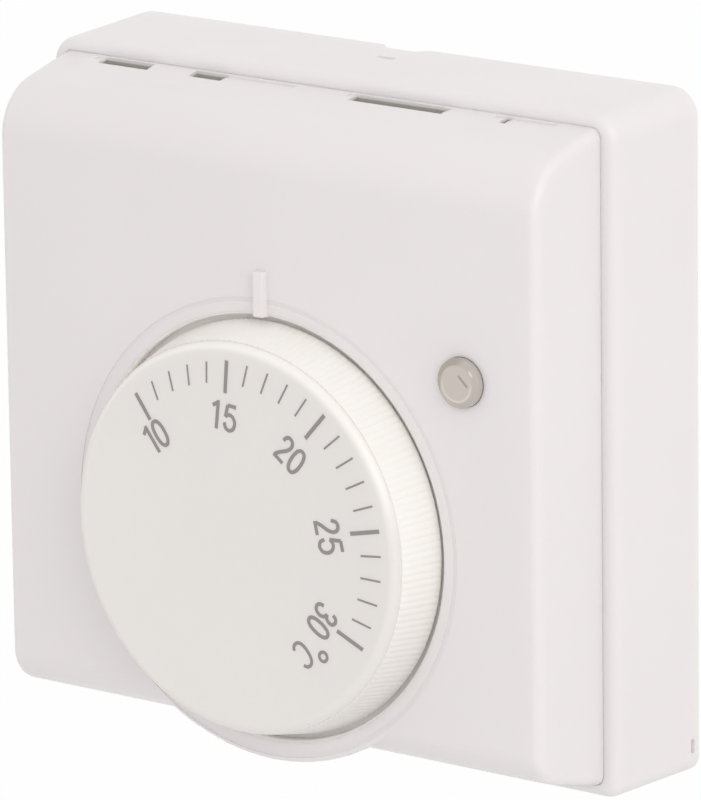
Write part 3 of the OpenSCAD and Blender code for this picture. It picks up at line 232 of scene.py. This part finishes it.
def moulded(name, color, roughness, grain=FINE_GRAIN, base_normal=None, **inputs):
    """Moulded plastic: a faint drift of colour, uneven gloss and a very fine grain."""
    mat = new_material(name, color, roughness, **inputs)
    tree = mat.node_tree
    vary_color(mat, color, scale=28, change=0.006)
    vary_gloss(mat, noise(tree, scale=160), less=0.04, more=0.05)
    add_bump(mat, [(*grain, EVEN), (*MOULD_WAVES, EVEN)], strength=0.35,
             normal=base_normal(tree) if base_normal else None)
    return mat


def drawn_metal(name, color, roughness, lines):
    """Rolled or turned metal: fine lines along one direction and a mottled gloss."""
    mat = new_material(name, color, roughness, Metallic=1.0)
    vary_color(mat, color, scale=420, change=0.05)
    vary_gloss(mat, noise(mat.node_tree, scale=700, detail=4.0, stretch=lines), less=0.07, more=0.1)
    add_bump(mat, [(*METAL_LINES, lines)], strength=0.4)
    return mat


# White housing: painted shade in its vents and painted light in the well around the dial. The front is at
# negative y

SHELL_WHITE = rgb(233, 228, 228)
# Painted shade for the inside of the vent slots
VENT_PAINTED_SHADE = rgb(186, 181, 173)
# Painted light for the well beside the dial
WELL_PAINTED_LIGHT = rgb(253, 249, 244)
DIAL_AXIS = Vector((0, 0, -11.35 * MM))
# Rise of the cover's top wall towards the back box, and its height where the vents meet the box's rim
TOP_SLOPE = math.tan(math.radians(13))
VENT_TOP_Z = 39.63 * MM
RIM_DEPTH = 16.3 * MM
# The painted shade in the vents lies between these depths below the wall's face, this far to each side and
# in front of the rim
VENT_SHADE_BEGINS = (0.3 * MM, 0.5 * MM)
VENT_SHADE_ENDS = (1.9 * MM, 2.0 * MM)
VENT_SHADE_REACH = 34.5 * MM
VENT_SHADE_Y = (-RIM_DEPTH - 2.3 * MM, -RIM_DEPTH - 0.3 * MM)
# Radii and depths of the well between the dial and its ring
WELL_R = (24 * MM, 26.1 * MM)
WELL_Y = (-29.1 * MM, -27.4 * MM)


def shell_material():
    """White moulding: painted shade inside the vent slots, and painted light in the well beside the dial."""
    mat = moulded("white_shell", SHELL_WHITE, 0.34, **GLOW)
    tree = mat.node_tree
    at = axes_from(tree, DIAL_AXIS)
    height = number_node(tree, "MULTIPLY_ADD", at.y, -TOP_SLOPE, number_node(tree, "ABSOLUTE", at.z))
    depth = number_node(tree, "SUBTRACT", VENT_TOP_Z + TOP_SLOPE * RIM_DEPTH, height)
    # Painted shade inside the vent slots
    vent_shade = overlap(tree, step_between(tree, depth, *VENT_SHADE_BEGINS),
                    step_between(tree, depth, *VENT_SHADE_ENDS, 1.0, 0.0),
                    band(tree, at.x, -VENT_SHADE_REACH, VENT_SHADE_REACH), band(tree, at.y, *VENT_SHADE_Y))
    tint(mat, vent_shade, VENT_PAINTED_SHADE)
    # Painted light in the well beside the dial
    tint(mat, overlap(tree, band(tree, at.reach, *WELL_R), band(tree, at.y, *WELL_Y)), WELL_PAINTED_LIGHT)
    return mat


# White dial: a rounded rim in front of a ribbed flank

DIAL_WHITE = rgb(233, 229, 225)
# Painted light on the ribbed flank, brighter higher up
FLANK_PAINTED_LIGHT = rgb(249, 245, 240)
# Painted light at the edge of the rim
RIM_PAINTED_LIGHT = rgb(243, 239, 234)
# The ribs begin between these radii, just inside their foot
KNURL_START_R = (23.76 * MM, 23.79 * MM)
# Depths: front of the flank, with the strip over which the rim's tone gives way, and back of the tone
KNURL_FRONT_Y = -34.25 * MM
RIM_END_Y = (KNURL_FRONT_Y - 0.1 * MM, KNURL_FRONT_Y)
FLANK_BACK_Y = -27 * MM
# Depths between which the softening of the ribs ends
KNURL_FOOT_Y = (-28.45 * MM, -28.4 * MM)
# Outward lean of the flank
KNURL_LEAN = 0.224
# How much of the ribs' relief is smoothed away, low on the dial and higher up
KNURL_CLEAR, KNURL_CLEAR_Z = 0.05, -16 * MM
KNURL_CALM, KNURL_CALM_Z = 0.6, 4 * MM
# Painted light: the flank grows brighter from the first height to the second, by these shares of its tone
FLANK_FADE_Z = (-32 * MM, -8 * MM)
FLANK_SHARE = (0.1, 1.0)
# Painted light: the rim is brighter at its edge, from the first radius and height to the second
RIM_FADE_R = (22.75 * MM, 23.35 * MM)
RIM_FADE_Z = (-9 * MM, 0)


def on_ribs(tree, at):
    """One on the ribbed flank, which reaches further out than the rim."""
    return step_between(tree, at.reach, *KNURL_START_R)


def dial_material():
    """Warmer moulding, with painted light over its ribbed flank and at the edge of its rim."""
    mat = moulded("white_dial", DIAL_WHITE, 0.36, base_normal=calm_knurl, **GLOW)
    tree = mat.node_tree
    at = axes_from(tree, DIAL_AXIS)
    # Painted light over the ribbed flank, brighter higher up
    flank = overlap(tree, on_ribs(tree, at), band(tree, at.y, KNURL_FRONT_Y, FLANK_BACK_Y),
                    step_between(tree, at.z, *FLANK_FADE_Z, *FLANK_SHARE))
    tint(mat, flank, FLANK_PAINTED_LIGHT)
    # Painted light at the rim's edge, brighter higher up
    rim_light = overlap(tree, step_between(tree, at.reach, *RIM_FADE_R),
                  step_between(tree, at.y, *RIM_END_Y, 1.0, 0.0),
                  step_between(tree, at.z, *RIM_FADE_Z))
    tint(mat, rim_light, RIM_PAINTED_LIGHT)
    return mat


def calm_knurl(tree):
    """Normal of the dial whose ribs are worn soft: it lies between the mesh and a plain cone."""
    at = axes_from(tree, DIAL_AXIS)
    outward = vector_node(tree, "NORMALIZE", at.radial)
    cone = tree.nodes.new("ShaderNodeVectorTransform")
    cone.vector_type = "NORMAL"
    cone.convert_from = "OBJECT"
    cone.convert_to = "WORLD"
    feed(tree, cone.inputs, [vector_node(tree, "ADD", outward, (0, -KNURL_LEAN, 0))])
    calm = overlap(tree, on_ribs(tree, at),
                   step_between(tree, at.y, *KNURL_FOOT_Y, 1.0, 0.0),
                   step_between(tree, at.z, KNURL_CLEAR_Z, KNURL_CALM_Z, KNURL_CLEAR, KNURL_CALM))
    mesh_normal = tree.nodes.new("ShaderNodeNewGeometry").outputs["Normal"]
    return vector_node(tree, "NORMALIZE", mix_node(tree, "VECTOR", calm, mesh_normal, cone.outputs[0]))


# Lens of the lamp: a flat front and a rounded flank. Places are seen from the front, from its middle

FLAT_TONE = rgb(210, 200, 190)
FLANK_TONE = rgb(212, 201, 190)
# Dark streak painted into the lens's colour where the electrode shows through
PAINTED_STREAK_TONE = rgb(150, 142, 134)
RING_TONE = rgb(240, 230, 220)
CORNER_TONE = rgb(186, 175, 160)
# Painted highlight on the edge of the lens
PAINTED_HIGHLIGHT_TONE = rgb(255, 254, 252)
# Painted shade at the foot of the lens
FOOT_PAINTED_SHADE = rgb(150, 141, 133)
# Radius of the flat front, and the strip around it over which the flank takes over
LENS_FLAT_R = 2.235 * MM
LENS_BEND_R = (0.94 * LENS_FLAT_R, 1.06 * LENS_FLAT_R)
# Share of light that goes through the flat front and the flank
LENS_CLEAR = (0.15, 0.3)
# Ring of light inside the edge of the flat front, which fades upwards between two heights
RING_R = (LENS_FLAT_R - 0.3 * MM, LENS_FLAT_R - 0.06 * MM)
RING_SOFT = 0.08 * MM
RING_FADE_Z = (-0.6 * MM, 0.6 * MM)
RING_SHARE = (0.6, 0.0)
# Shaded corner of the flank: its direction, and the distances between which it darkens
CORNER_WAY = (-0.78, 0, 0.62)
CORNER_FADE = (0.8 * MM, 1.9 * MM)
# Painted shade: distance behind the front at which the foot darkens
FOOT_FADE = (1.0 * MM, 1.2 * MM)
# Noise scale and height of its surface
LENS_GRAIN = (900, 0.006 * MM)
# Oblong spots: a dark streak painted where the electrode shows through the front, and a painted highlight on
# the edge
STREAK = {"place": Vector((0.95, 0, 0.45)) * MM, "along": Vector((0.728, 0, -0.686)),
          "half_length": 0.9 * MM, "soft_ends": 0.15 * MM, "half_width": 0.13 * MM, "soft_sides": 0.12 * MM}
PAINTED_HIGHLIGHT = {"place": Vector((1.95, 0, 1.45)) * MM, "along": Vector((-0.596, 0, 0.803)),
         "half_length": 0.35 * MM, "soft_ends": 0.2 * MM, "half_width": 0.08 * MM, "soft_sides": 0.08 * MM}


def lens_spot(tree, radial, place, along, half_length, soft_ends, half_width, soft_sides):
    """One over an oblong spot of the lens."""
    offset = vector_node(tree, "SUBTRACT", radial, place)
    across = Vector((-along.z, 0, along.x))
    return overlap(tree,
                   band(tree, vector_node(tree, "DOT_PRODUCT", offset, along),
                        -half_length, half_length, soft_ends),
                   band(tree, vector_node(tree, "DOT_PRODUCT", offset, across),
                        -half_width, half_width, soft_sides))


def lens_material():
    """Smoky plastic, frosted over its flat front and clearer along its flank."""
    mat = new_material("clear_lens", FLANK_TONE, 0.06, IOR=1.75, Coat_Weight=0.6)
    tree = mat.node_tree
    low, high = (Vector(corner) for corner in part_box("indicator_lens"))
    at = axes_from(tree, (low + high) / 2)
    flank = step_between(tree, at.reach, *LENS_BEND_R)
    tree.links.new(step_between(tree, flank, 0.0, 1.0, *LENS_CLEAR, "LINEAR"),
                   shader_input(mat, "Transmission Weight"))
    tree.links.new(blend_tones(tree, flank, FLAT_TONE, FLANK_TONE), shader_input(mat, "Base Color"))
    # Dark streak painted where the electrode shows through the front
    tint(mat, lens_spot(tree, at.radial, **STREAK), PAINTED_STREAK_TONE)
    height = vector_node(tree, "DOT_PRODUCT", at.radial, (0, 0, 1))
    ring = overlap(tree, band(tree, at.reach, *RING_R, RING_SOFT),
                   step_between(tree, height, *RING_FADE_Z, *RING_SHARE))
    tint(mat, ring, RING_TONE)
    corner = vector_node(tree, "DOT_PRODUCT", at.radial, CORNER_WAY)
    tint(mat, overlap(tree, flank, step_between(tree, corner, *CORNER_FADE)), CORNER_TONE)
    # Painted highlight on the edge of the lens
    tint(mat, lens_spot(tree, at.radial, **PAINTED_HIGHLIGHT), PAINTED_HIGHLIGHT_TONE)
    # Painted shade at the foot of the lens
    tint(mat, step_between(tree, at.y, *(low.y + depth for depth in FOOT_FADE)), FOOT_PAINTED_SHADE)
    add_bump(mat, [(*LENS_GRAIN, EVEN)], strength=0.3)
    return mat


# Finishes of the hidden pieces and of the ink

INK_GREY = rgb(147, 140, 138)
# Metals: colour, roughness and the stretch of their fine lines
METALS = {
    "plated_steel": (rgb(200, 200, 203), 0.3, EVEN),
    "spring_steel": (rgb(110, 110, 114), 0.38, EVEN),
    "yoke_steel": (rgb(190, 192, 196), 0.36, (1, 1, 14)),
    "brass_turned": (rgb(215, 175, 95), 0.26, (1, 14, 1)),
    "brass_strip": (rgb(205, 165, 90), 0.3, (1, 1, 14)),
    "copper_alloy": (rgb(205, 145, 100), 0.3, EVEN),
    "spring_bronze": (rgb(190, 130, 80), 0.3, (14, 1, 1)),
    "contact_silver": (rgb(225, 225, 228), 0.25, EVEN),
    "nickel_wire": (rgb(150, 150, 152), 0.35, (1, 14, 1)),
}
# Plastics and coatings: colour, roughness and grain
PLASTICS = {
    "red_plastic": (rgb(170, 40, 30), 0.4, FINE_GRAIN),
    "chassis_plastic": (rgb(205, 200, 190), 0.5, COARSE_GRAIN),
    "grey_plastic": (rgb(120, 122, 125), 0.5, COARSE_GRAIN),
    "resistor_beige": (rgb(200, 170, 125), 0.4, FINE_GRAIN),
    "resistor_green": (rgb(70, 110, 80), 0.4, FINE_GRAIN),
    "wire_sleeve": (rgb(60, 64, 74), 0.5, FINE_GRAIN),
}

looks = {
    "white_shell": shell_material(),
    "white_dial": dial_material(),
    "clear_lens": lens_material(),
    "lamp_glass": new_material("lamp_glass", rgb(240, 236, 228), 0.04, Transmission_Weight=1.0, IOR=1.5),
    "natural_plastic": moulded("natural_plastic", rgb(225, 220, 208), 0.45, Subsurface_Weight=0.15),
}
for name, finish in METALS.items():
    looks[name] = drawn_metal(name, *finish)
for name, finish in PLASTICS.items():
    looks[name] = moulded(name, *finish)
ink = moulded("scale_ink", INK_GREY, 0.45)


# Smooth shading of the solids: the facets of rounded forms blend, true edges stay crisp

# Points closer than this are one point
SAME_PLACE = 0.002 * MM
# Edges below this angle, in degrees, are shaded smooth
SOFT_BELOW = 28
# Rounding of the lens's edges: radius, steps, and the angle in degrees from which an edge counts
LENS_EDGE_R = 0.34 * MM
LENS_EDGE_STEPS = 4
LENS_EDGE_ANGLE = 25


def smoothing_group(limit_degrees):
    """Modifier group that shades smooth all but the edges above an angle."""
    tree = bpy.data.node_groups.new(f"soft_below_{limit_degrees}", "GeometryNodeTree")
    for way in ("INPUT", "OUTPUT"):
        tree.interface.new_socket("Geometry", in_out=way, socket_type="NodeSocketGeometry")
    start = tree.nodes.new("NodeGroupInput")
    end = tree.nodes.new("NodeGroupOutput")
    merge = tree.nodes.new("GeometryNodeMergeByDistance")
    merge.inputs["Distance"].default_value = SAME_PLACE
    faces = tree.nodes.new("GeometryNodeSetShadeSmooth")
    edges = tree.nodes.new("GeometryNodeSetShadeSmooth")
    edges.domain = "EDGE"
    edges.inputs["Shade Smooth"].default_value = False
    angle = tree.nodes.new("GeometryNodeInputMeshEdgeAngle")
    above = tree.nodes.new("FunctionNodeCompare")
    above.data_type = "FLOAT"
    above.operation = "GREATER_THAN"
    above.inputs[1].default_value = math.radians(limit_degrees)
    tree.links.new(start.outputs[0], merge.inputs["Geometry"])
    tree.links.new(merge.outputs[0], faces.inputs["Geometry"])
    tree.links.new(faces.outputs[0], edges.inputs["Geometry"])
    tree.links.new(angle.outputs["Unsigned Angle"], above.inputs[0])
    tree.links.new(above.outputs["Result"], edges.inputs["Selection"])
    tree.links.new(edges.outputs[0], end.inputs[0])
    return tree


def round_edges(obj):
    """Rounds the edges of a small moulding."""
    joined = obj.modifiers.new("joined", "WELD")
    joined.merge_threshold = SAME_PLACE
    rounded = obj.modifiers.new("round_edges", "BEVEL")
    rounded.width = LENS_EDGE_R
    rounded.segments = LENS_EDGE_STEPS
    rounded.limit_method = "ANGLE"
    rounded.angle_limit = math.radians(LENS_EDGE_ANGLE)


round_edges(nodes["indicator_lens"])
soft = smoothing_group(SOFT_BELOW)
slot_of = {row["node"]: row["material_slot"] for row in frame["record"]["subparts"]}
for name, obj in nodes.items():
    obj.data.materials.clear()
    obj.data.materials.append(looks[slot_of[name]])
    modifier = obj.modifiers.new("soft_shading", "NODES")
    modifier.node_group = soft


# Printed scale on the dial: one tick for each degree from 10 to 30, and a numeral at every fifth

# The ink stands on a face that lies a little behind the foremost edge of the dial
FACE_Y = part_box("dial")[0][1] + 0.03 * MM
# How far the ink stands out of the face and reaches into it
INK_RISE = 0.02 * MM
INK_ROOT = 0.05 * MM
# Strokes of one figure, which may cross, differ in height by this
INK_STEP = 0.004 * MM
# Angles in degrees clockwise from the top, with the dial as it stands at rest
TICK_COUNT = 21
TICK_START = -44.02
TICK_STEP = 8.227
# The outer and the inner ends lie on circles that are printed a little off the axis, by x and z
OUTER_CENTRE = Vector((0.39, 0.46)) * MM
INNER_CENTRE = Vector((-0.12, 0.23)) * MM
LONG_EVERY = 5
SHORT_TICK = SimpleNamespace(outer_r=21.12 * MM, inner_r=18.72 * MM, width=0.24 * MM)
LONG_TICK = SimpleNamespace(outer_r=21.28 * MM, inner_r=17.52 * MM, width=0.5 * MM)
# Numerals: radius and angle of the middle, tilt, height, and gap between the figures as a share of it
NUMERALS = (
    ("10", 15.81 * MM, -46.1, -37.0, 3.6 * MM, -0.04),
    ("15", 14.93 * MM, -4.87, 6.5, 3.5 * MM, 0.08),
    ("20", 14.39 * MM, 36.57, 37.5, 3.65 * MM, 0.01),
    ("25", 14.22 * MM, 79.6, 77.0, 3.75 * MM, 0.03),
    ("30", 15.0 * MM, 121.85, 123.0, 3.6 * MM, 0.02),
)
NUMERAL_STROKE = 0.46 * MM
# The two figures of the unit sign: radius and angle of the middle, and stroke
UNIT_SIGN = (("o", 16.65 * MM, 133.41, 0.4 * MM), ("C", 15.89 * MM, 141.79, 0.42 * MM))
UNIT_TILT = 138.0
UNIT_HEIGHT = 3.6 * MM


def smooth_line(points, steps=8):
    """Curve through the points, with even steps between each two."""
    result = []
    last = len(points) - 1
    for i in range(last):
        before, start, end, after = (Vector(points[min(max(j, 0), last)]) for j in range(i - 1, i + 3))
        for k in range(steps):
            t = k / steps
            result.append(tuple(0.5 * (2 * start + (end - before) * t
                                       + (2 * before - 5 * start + 4 * end - after) * t * t
                                       + (3 * start - before - 3 * end + after) * t ** 3)))
    result.append(tuple(points[-1]))
    return result


def oval(cx, cy, rx, ry, start=0, end=360, steps=36, power=2.3):
    """Points on an oval, from one angle to another. A power above 2 makes its shoulders fuller."""
    points = []
    for i in range(steps + (end - start < 360)):
        a = math.radians(start + (end - start) * i / steps)
        c, s = math.cos(a), math.sin(a)
        points.append((cx + rx * math.copysign(abs(c) ** (2 / power), c),
                       cy + ry * math.copysign(abs(s) ** (2 / power), s)))
    return points


# Glyphs as centre lines in units of the figure height, each line marked closed or open
GLYPHS = {
    "0": [(oval(0.26, 0.5, 0.2, 0.44), True)],
    "1": [([(0.3, 0.0), (0.3, 1.0)], False), ([(0.3, 0.93), (0.08, 0.78)], False)],
    "2": [(smooth_line([(0.07, 0.7), (0.13, 0.88), (0.26, 0.94), (0.4, 0.87), (0.44, 0.7), (0.36, 0.5),
                        (0.2, 0.29), (0.09, 0.1)]), False), ([(0.04, 0.06), (0.49, 0.06)], False)],
    "3": [(smooth_line([(0.08, 0.74), (0.13, 0.88), (0.25, 0.94), (0.38, 0.88), (0.41, 0.74), (0.35, 0.6),
                        (0.22, 0.54)]), False),
          (smooth_line([(0.22, 0.54), (0.37, 0.48), (0.44, 0.3), (0.38, 0.12), (0.25, 0.06), (0.12, 0.12),
                        (0.06, 0.28)]), False)],
    "5": [([(0.13, 0.93), (0.48, 0.93)], False), ([(0.13, 0.93), (0.06, 0.5)], False),
          (smooth_line([(0.06, 0.51), (0.16, 0.59), (0.29, 0.6), (0.42, 0.5), (0.47, 0.33), (0.41, 0.14),
                        (0.25, 0.06), (0.1, 0.13), (0.04, 0.3)]), False)],
    "C": [(oval(0.31, 0.5, 0.25, 0.44, 38, 322, 30), False)],
    "o": [(oval(0.2, 0.8, 0.16, 0.16, 0, 360, 28, 2.0), True)],
}
# Width that each figure takes
ADVANCE = {"0": 0.58, "1": 0.5, "2": 0.58, "3": 0.56, "5": 0.56, "C": 0.66, "o": 0.46}


def new_object(name, build, material):
    """Object with the mesh that a function builds."""
    mesh = bpy.data.meshes.new(name)
    bm = bmesh.new()
    build(bm)
    bm.to_mesh(mesh)
    bm.free()
    mesh.materials.append(material)
    obj = bpy.data.objects.new(name, mesh)
    bpy.context.scene.collection.objects.link(obj)
    return obj


def add_print(name, build, body):
    """Piece of solid ink, in the ink's finish, that rides on a body."""
    def build_outwards(bm):
        build(bm)
        bmesh.ops.recalc_face_normals(bm, faces=bm.faces)
    obj = new_object(name, build_outwards, ink)
    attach(obj, body)


def face_point(x, z, depth):
    """Place on the dial's face, x and z from its axis, at a depth behind the face."""
    return Vector((x, FACE_Y + depth, z)) + DIAL_AXIS


def ink_band(bm, left, right, closed=False, rise=INK_RISE):
    """Solid band of ink between two rows of (x, z) points on the dial's face."""
    rows = []
    for (lx, lz), (rx, rz) in zip(left, right):
        rows.append([bm.verts.new(face_point(x, z, depth)) for x, z, depth in (
            (lx, lz, -rise), (rx, rz, -rise), (rx, rz, INK_ROOT), (lx, lz, INK_ROOT))])
    count = len(rows)
    for i in range(count if closed else count - 1):
        a, b = rows[i], rows[(i + 1) % count]
        for k in range(4):
            bm.faces.new((a[k], a[(k + 1) % 4], b[(k + 1) % 4], b[k]))
    if not closed:
        bm.faces.new(rows[0][::-1])
        bm.faces.new(rows[-1])


def offset_rows(points, width, closed):
    """Rows of points at half a width to the left and right of a line, mitred at its bends."""
    left, right = [], []
    count = len(points)
    for i, (x, z) in enumerate(points):
        steps = []
        if closed or i > 0:
            before = points[i - 1]
            steps.append(Vector((x - before[0], z - before[1])).normalized())
        if closed or i < count - 1:
            after = points[(i + 1) % count]
            steps.append(Vector((after[0] - x, after[1] - z)).normalized())
        along = (steps[0] + steps[-1]).normalized()
        reach = width / 2 / max(0.5, along.dot(steps[0]))
        side = Vector((-along.y, along.x)) * reach
        left.append((x + side.x, z + side.y))
        right.append((x - side.x, z - side.y))
    return left, right


def print_figures(bm, text, radius, angle, tilt, height, stroke, gap=0.0):
    """Prints figures around a place on the face, given by its radius and its angle."""
    width = sum(ADVANCE[c] for c in text) + gap * (len(text) - 1)
    a, t = math.radians(angle), math.radians(tilt)
    centre = Vector((radius * math.sin(a), radius * math.cos(a)))
    across = Vector((math.cos(t), -math.sin(t)))
    upward = Vector((math.sin(t), math.cos(t)))
    cursor = -width / 2
    for c in text:
        for stroke_index, (points, closed) in enumerate(GLYPHS[c]):
            line = [centre + (cursor + x) * height * across + (y - 0.5) * height * upward for x, y in points]
            ink_band(bm, *offset_rows(line, stroke, closed), closed, INK_RISE - stroke_index * INK_STEP)
        cursor += ADVANCE[c] + gap


def build_ticks(bm):
    """Ticks, each from the inner to the outer circle, with a long and wide one at every fifth degree."""
    for i in range(TICK_COUNT):
        tick = SHORT_TICK if i % LONG_EVERY else LONG_TICK
        a = math.radians(TICK_START + i * TICK_STEP)
        away = Vector((math.sin(a), math.cos(a)))
        outer = OUTER_CENTRE + away * tick.outer_r
        inner = INNER_CENTRE + away * tick.inner_r
        ink_band(bm, *offset_rows([inner, outer], tick.width, False))


def build_numerals(bm):
    """Numerals with their tops outwards."""
    for text, radius, angle, tilt, height, gap in NUMERALS:
        print_figures(bm, text, radius, angle, tilt, height, NUMERAL_STROKE, gap)


def build_unit_sign(bm):
    """Sign of the unit, degrees Celsius."""
    for text, radius, angle, stroke in UNIT_SIGN:
        print_figures(bm, text, radius, angle, UNIT_TILT, UNIT_HEIGHT, stroke)


add_print("scale_ticks", build_ticks, "dial")
add_print("scale_numerals", build_numerals, "dial")
add_print("scale_unit_sign", build_unit_sign, "dial")


# Camera: angles in degrees, around the place that it looks at

YAW, PITCH, ROLL = 37.055, 14.702, -0.784
AIM = Vector((2.108, -15.0, 1.583)) * MM
DISTANCE = 929.49 * MM
# Focal length and film width in millimetres, and the nearest and furthest distance seen
FOCAL_LENGTH = 351.1
FILM_WIDTH = 36
SEEN_FROM, SEEN_TO = 0.01, 20

scene = bpy.context.scene


def add_camera():
    """Camera that sees the object as the photo does."""
    yaw, pitch, roll = (math.radians(v) for v in (YAW, PITCH, ROLL))
    back = Vector((math.sin(yaw) * math.cos(pitch), -math.cos(yaw) * math.cos(pitch), math.sin(pitch)))
    level = Vector((0, 0, 1)).cross(back).normalized()
    upright = back.cross(level)
    right = math.cos(roll) * level + math.sin(roll) * upright
    up = math.cos(roll) * upright - math.sin(roll) * level
    place = AIM + back * DISTANCE
    data = bpy.data.cameras.new("camera")
    data.lens = FOCAL_LENGTH
    data.sensor_width = FILM_WIDTH
    data.clip_start = SEEN_FROM
    data.clip_end = SEEN_TO
    camera = bpy.data.objects.new("camera", data)
    camera.matrix_world = Matrix((
        (right.x, up.x, back.x, place.x),
        (right.y, up.y, back.y, place.y),
        (right.z, up.z, back.z, place.z),
        (0, 0, 0, 1),
    ))
    scene.collection.objects.link(camera)
    return camera


scene.camera = add_camera()


# Light and backdrop

# Strength of the room's even light
ROOM_LIGHT = 0.875
# Lamps: place, size and power. The large one models the form, the small one makes sharp glints
LAMPS = {
    "key": ((0.887, -0.554, 0.533), 0.7, 3.0),
    "glint": ((0.8, -0.6, 0.62), 0.07, 0.16),
}
# Round sheet of paper: height, radius, corners, and how near it comes to white where it is seen
FLOOR_Z = -0.12
FLOOR_R = 4.0
FLOOR_CORNERS = 96
FLOOR_WHITENESS = 0.97
# Colour of the paper, and noise scale and height of its surface
PAPER = rgb(235, 235, 235)
PAPER_GRAIN = (900, 0.02 * MM)


def straight_rays(tree):
    """One for what the camera sees directly, in gloss or through glass."""
    path = tree.nodes.new("ShaderNodeLightPath")
    total = path.outputs["Is Camera Ray"]
    for kind in ("Is Glossy Ray", "Is Transmission Ray"):
        total = number_node(tree, "MAXIMUM", total, path.outputs[kind])
    return total


def white_light(tree, kind, strength):
    """Plain white background or emission."""
    node = tree.nodes.new(kind)
    node.inputs["Color"].default_value = WHITE
    node.inputs["Strength"].default_value = strength
    return node.outputs[0]


def mix_surface(tree, share, first, second, output):
    """Sends a mix of two shaders to the output."""
    mix = tree.nodes.new("ShaderNodeMixShader")
    feed(tree, mix.inputs, (share, first, second))
    tree.links.new(mix.outputs[0], output.inputs["Surface"])


def add_room():
    """Even light from all sides, which the camera sees as white."""
    world = bpy.data.worlds.new("studio")
    world.use_nodes = True
    tree = world.node_tree
    tree.nodes.clear()
    mix_surface(tree, straight_rays(tree), white_light(tree, "ShaderNodeBackground", ROOM_LIGHT),
                white_light(tree, "ShaderNodeBackground", 1.0), tree.nodes.new("ShaderNodeOutputWorld"))
    scene.world = world


def area_light(name, place, size, power):
    """Square lamp that shines at the middle of the object."""
    data = bpy.data.lights.new(name, "AREA")
    data.energy = power
    data.size = size
    obj = bpy.data.objects.new(name, data)
    obj.location = place
    obj.rotation_euler = (-Vector(place)).to_track_quat("-Z", "Y").to_euler()
    scene.collection.objects.link(obj)


def floor_material():
    """Pale paper that keeps the shadow and is near white to the camera."""
    mat = new_material("floor_paper", PAPER, 0.9)
    add_bump(mat, [(*PAPER_GRAIN, EVEN)], strength=0.2)
    tree = mat.node_tree
    share = number_node(tree, "MULTIPLY", straight_rays(tree), FLOOR_WHITENESS)
    mix_surface(tree, share, tree.nodes["Principled BSDF"].outputs[0],
                white_light(tree, "ShaderNodeEmission", 1.0), tree.nodes["Material Output"])
    return mat


def build_sheet(bm):
    """Round flat sheet below the object."""
    bmesh.ops.create_circle(bm, cap_ends=True, cap_tris=False, segments=FLOOR_CORNERS, radius=FLOOR_R)
    bmesh.ops.translate(bm, verts=bm.verts, vec=(0, 0, FLOOR_Z))


def build_floor():
    """Floor on which the shadow falls."""
    return new_object("floor", build_sheet, floor_material())


add_room()
for name, lamp in LAMPS.items():
    area_light(name, *lamp)
build_floor()

scene.view_settings.view_transform = "Standard"
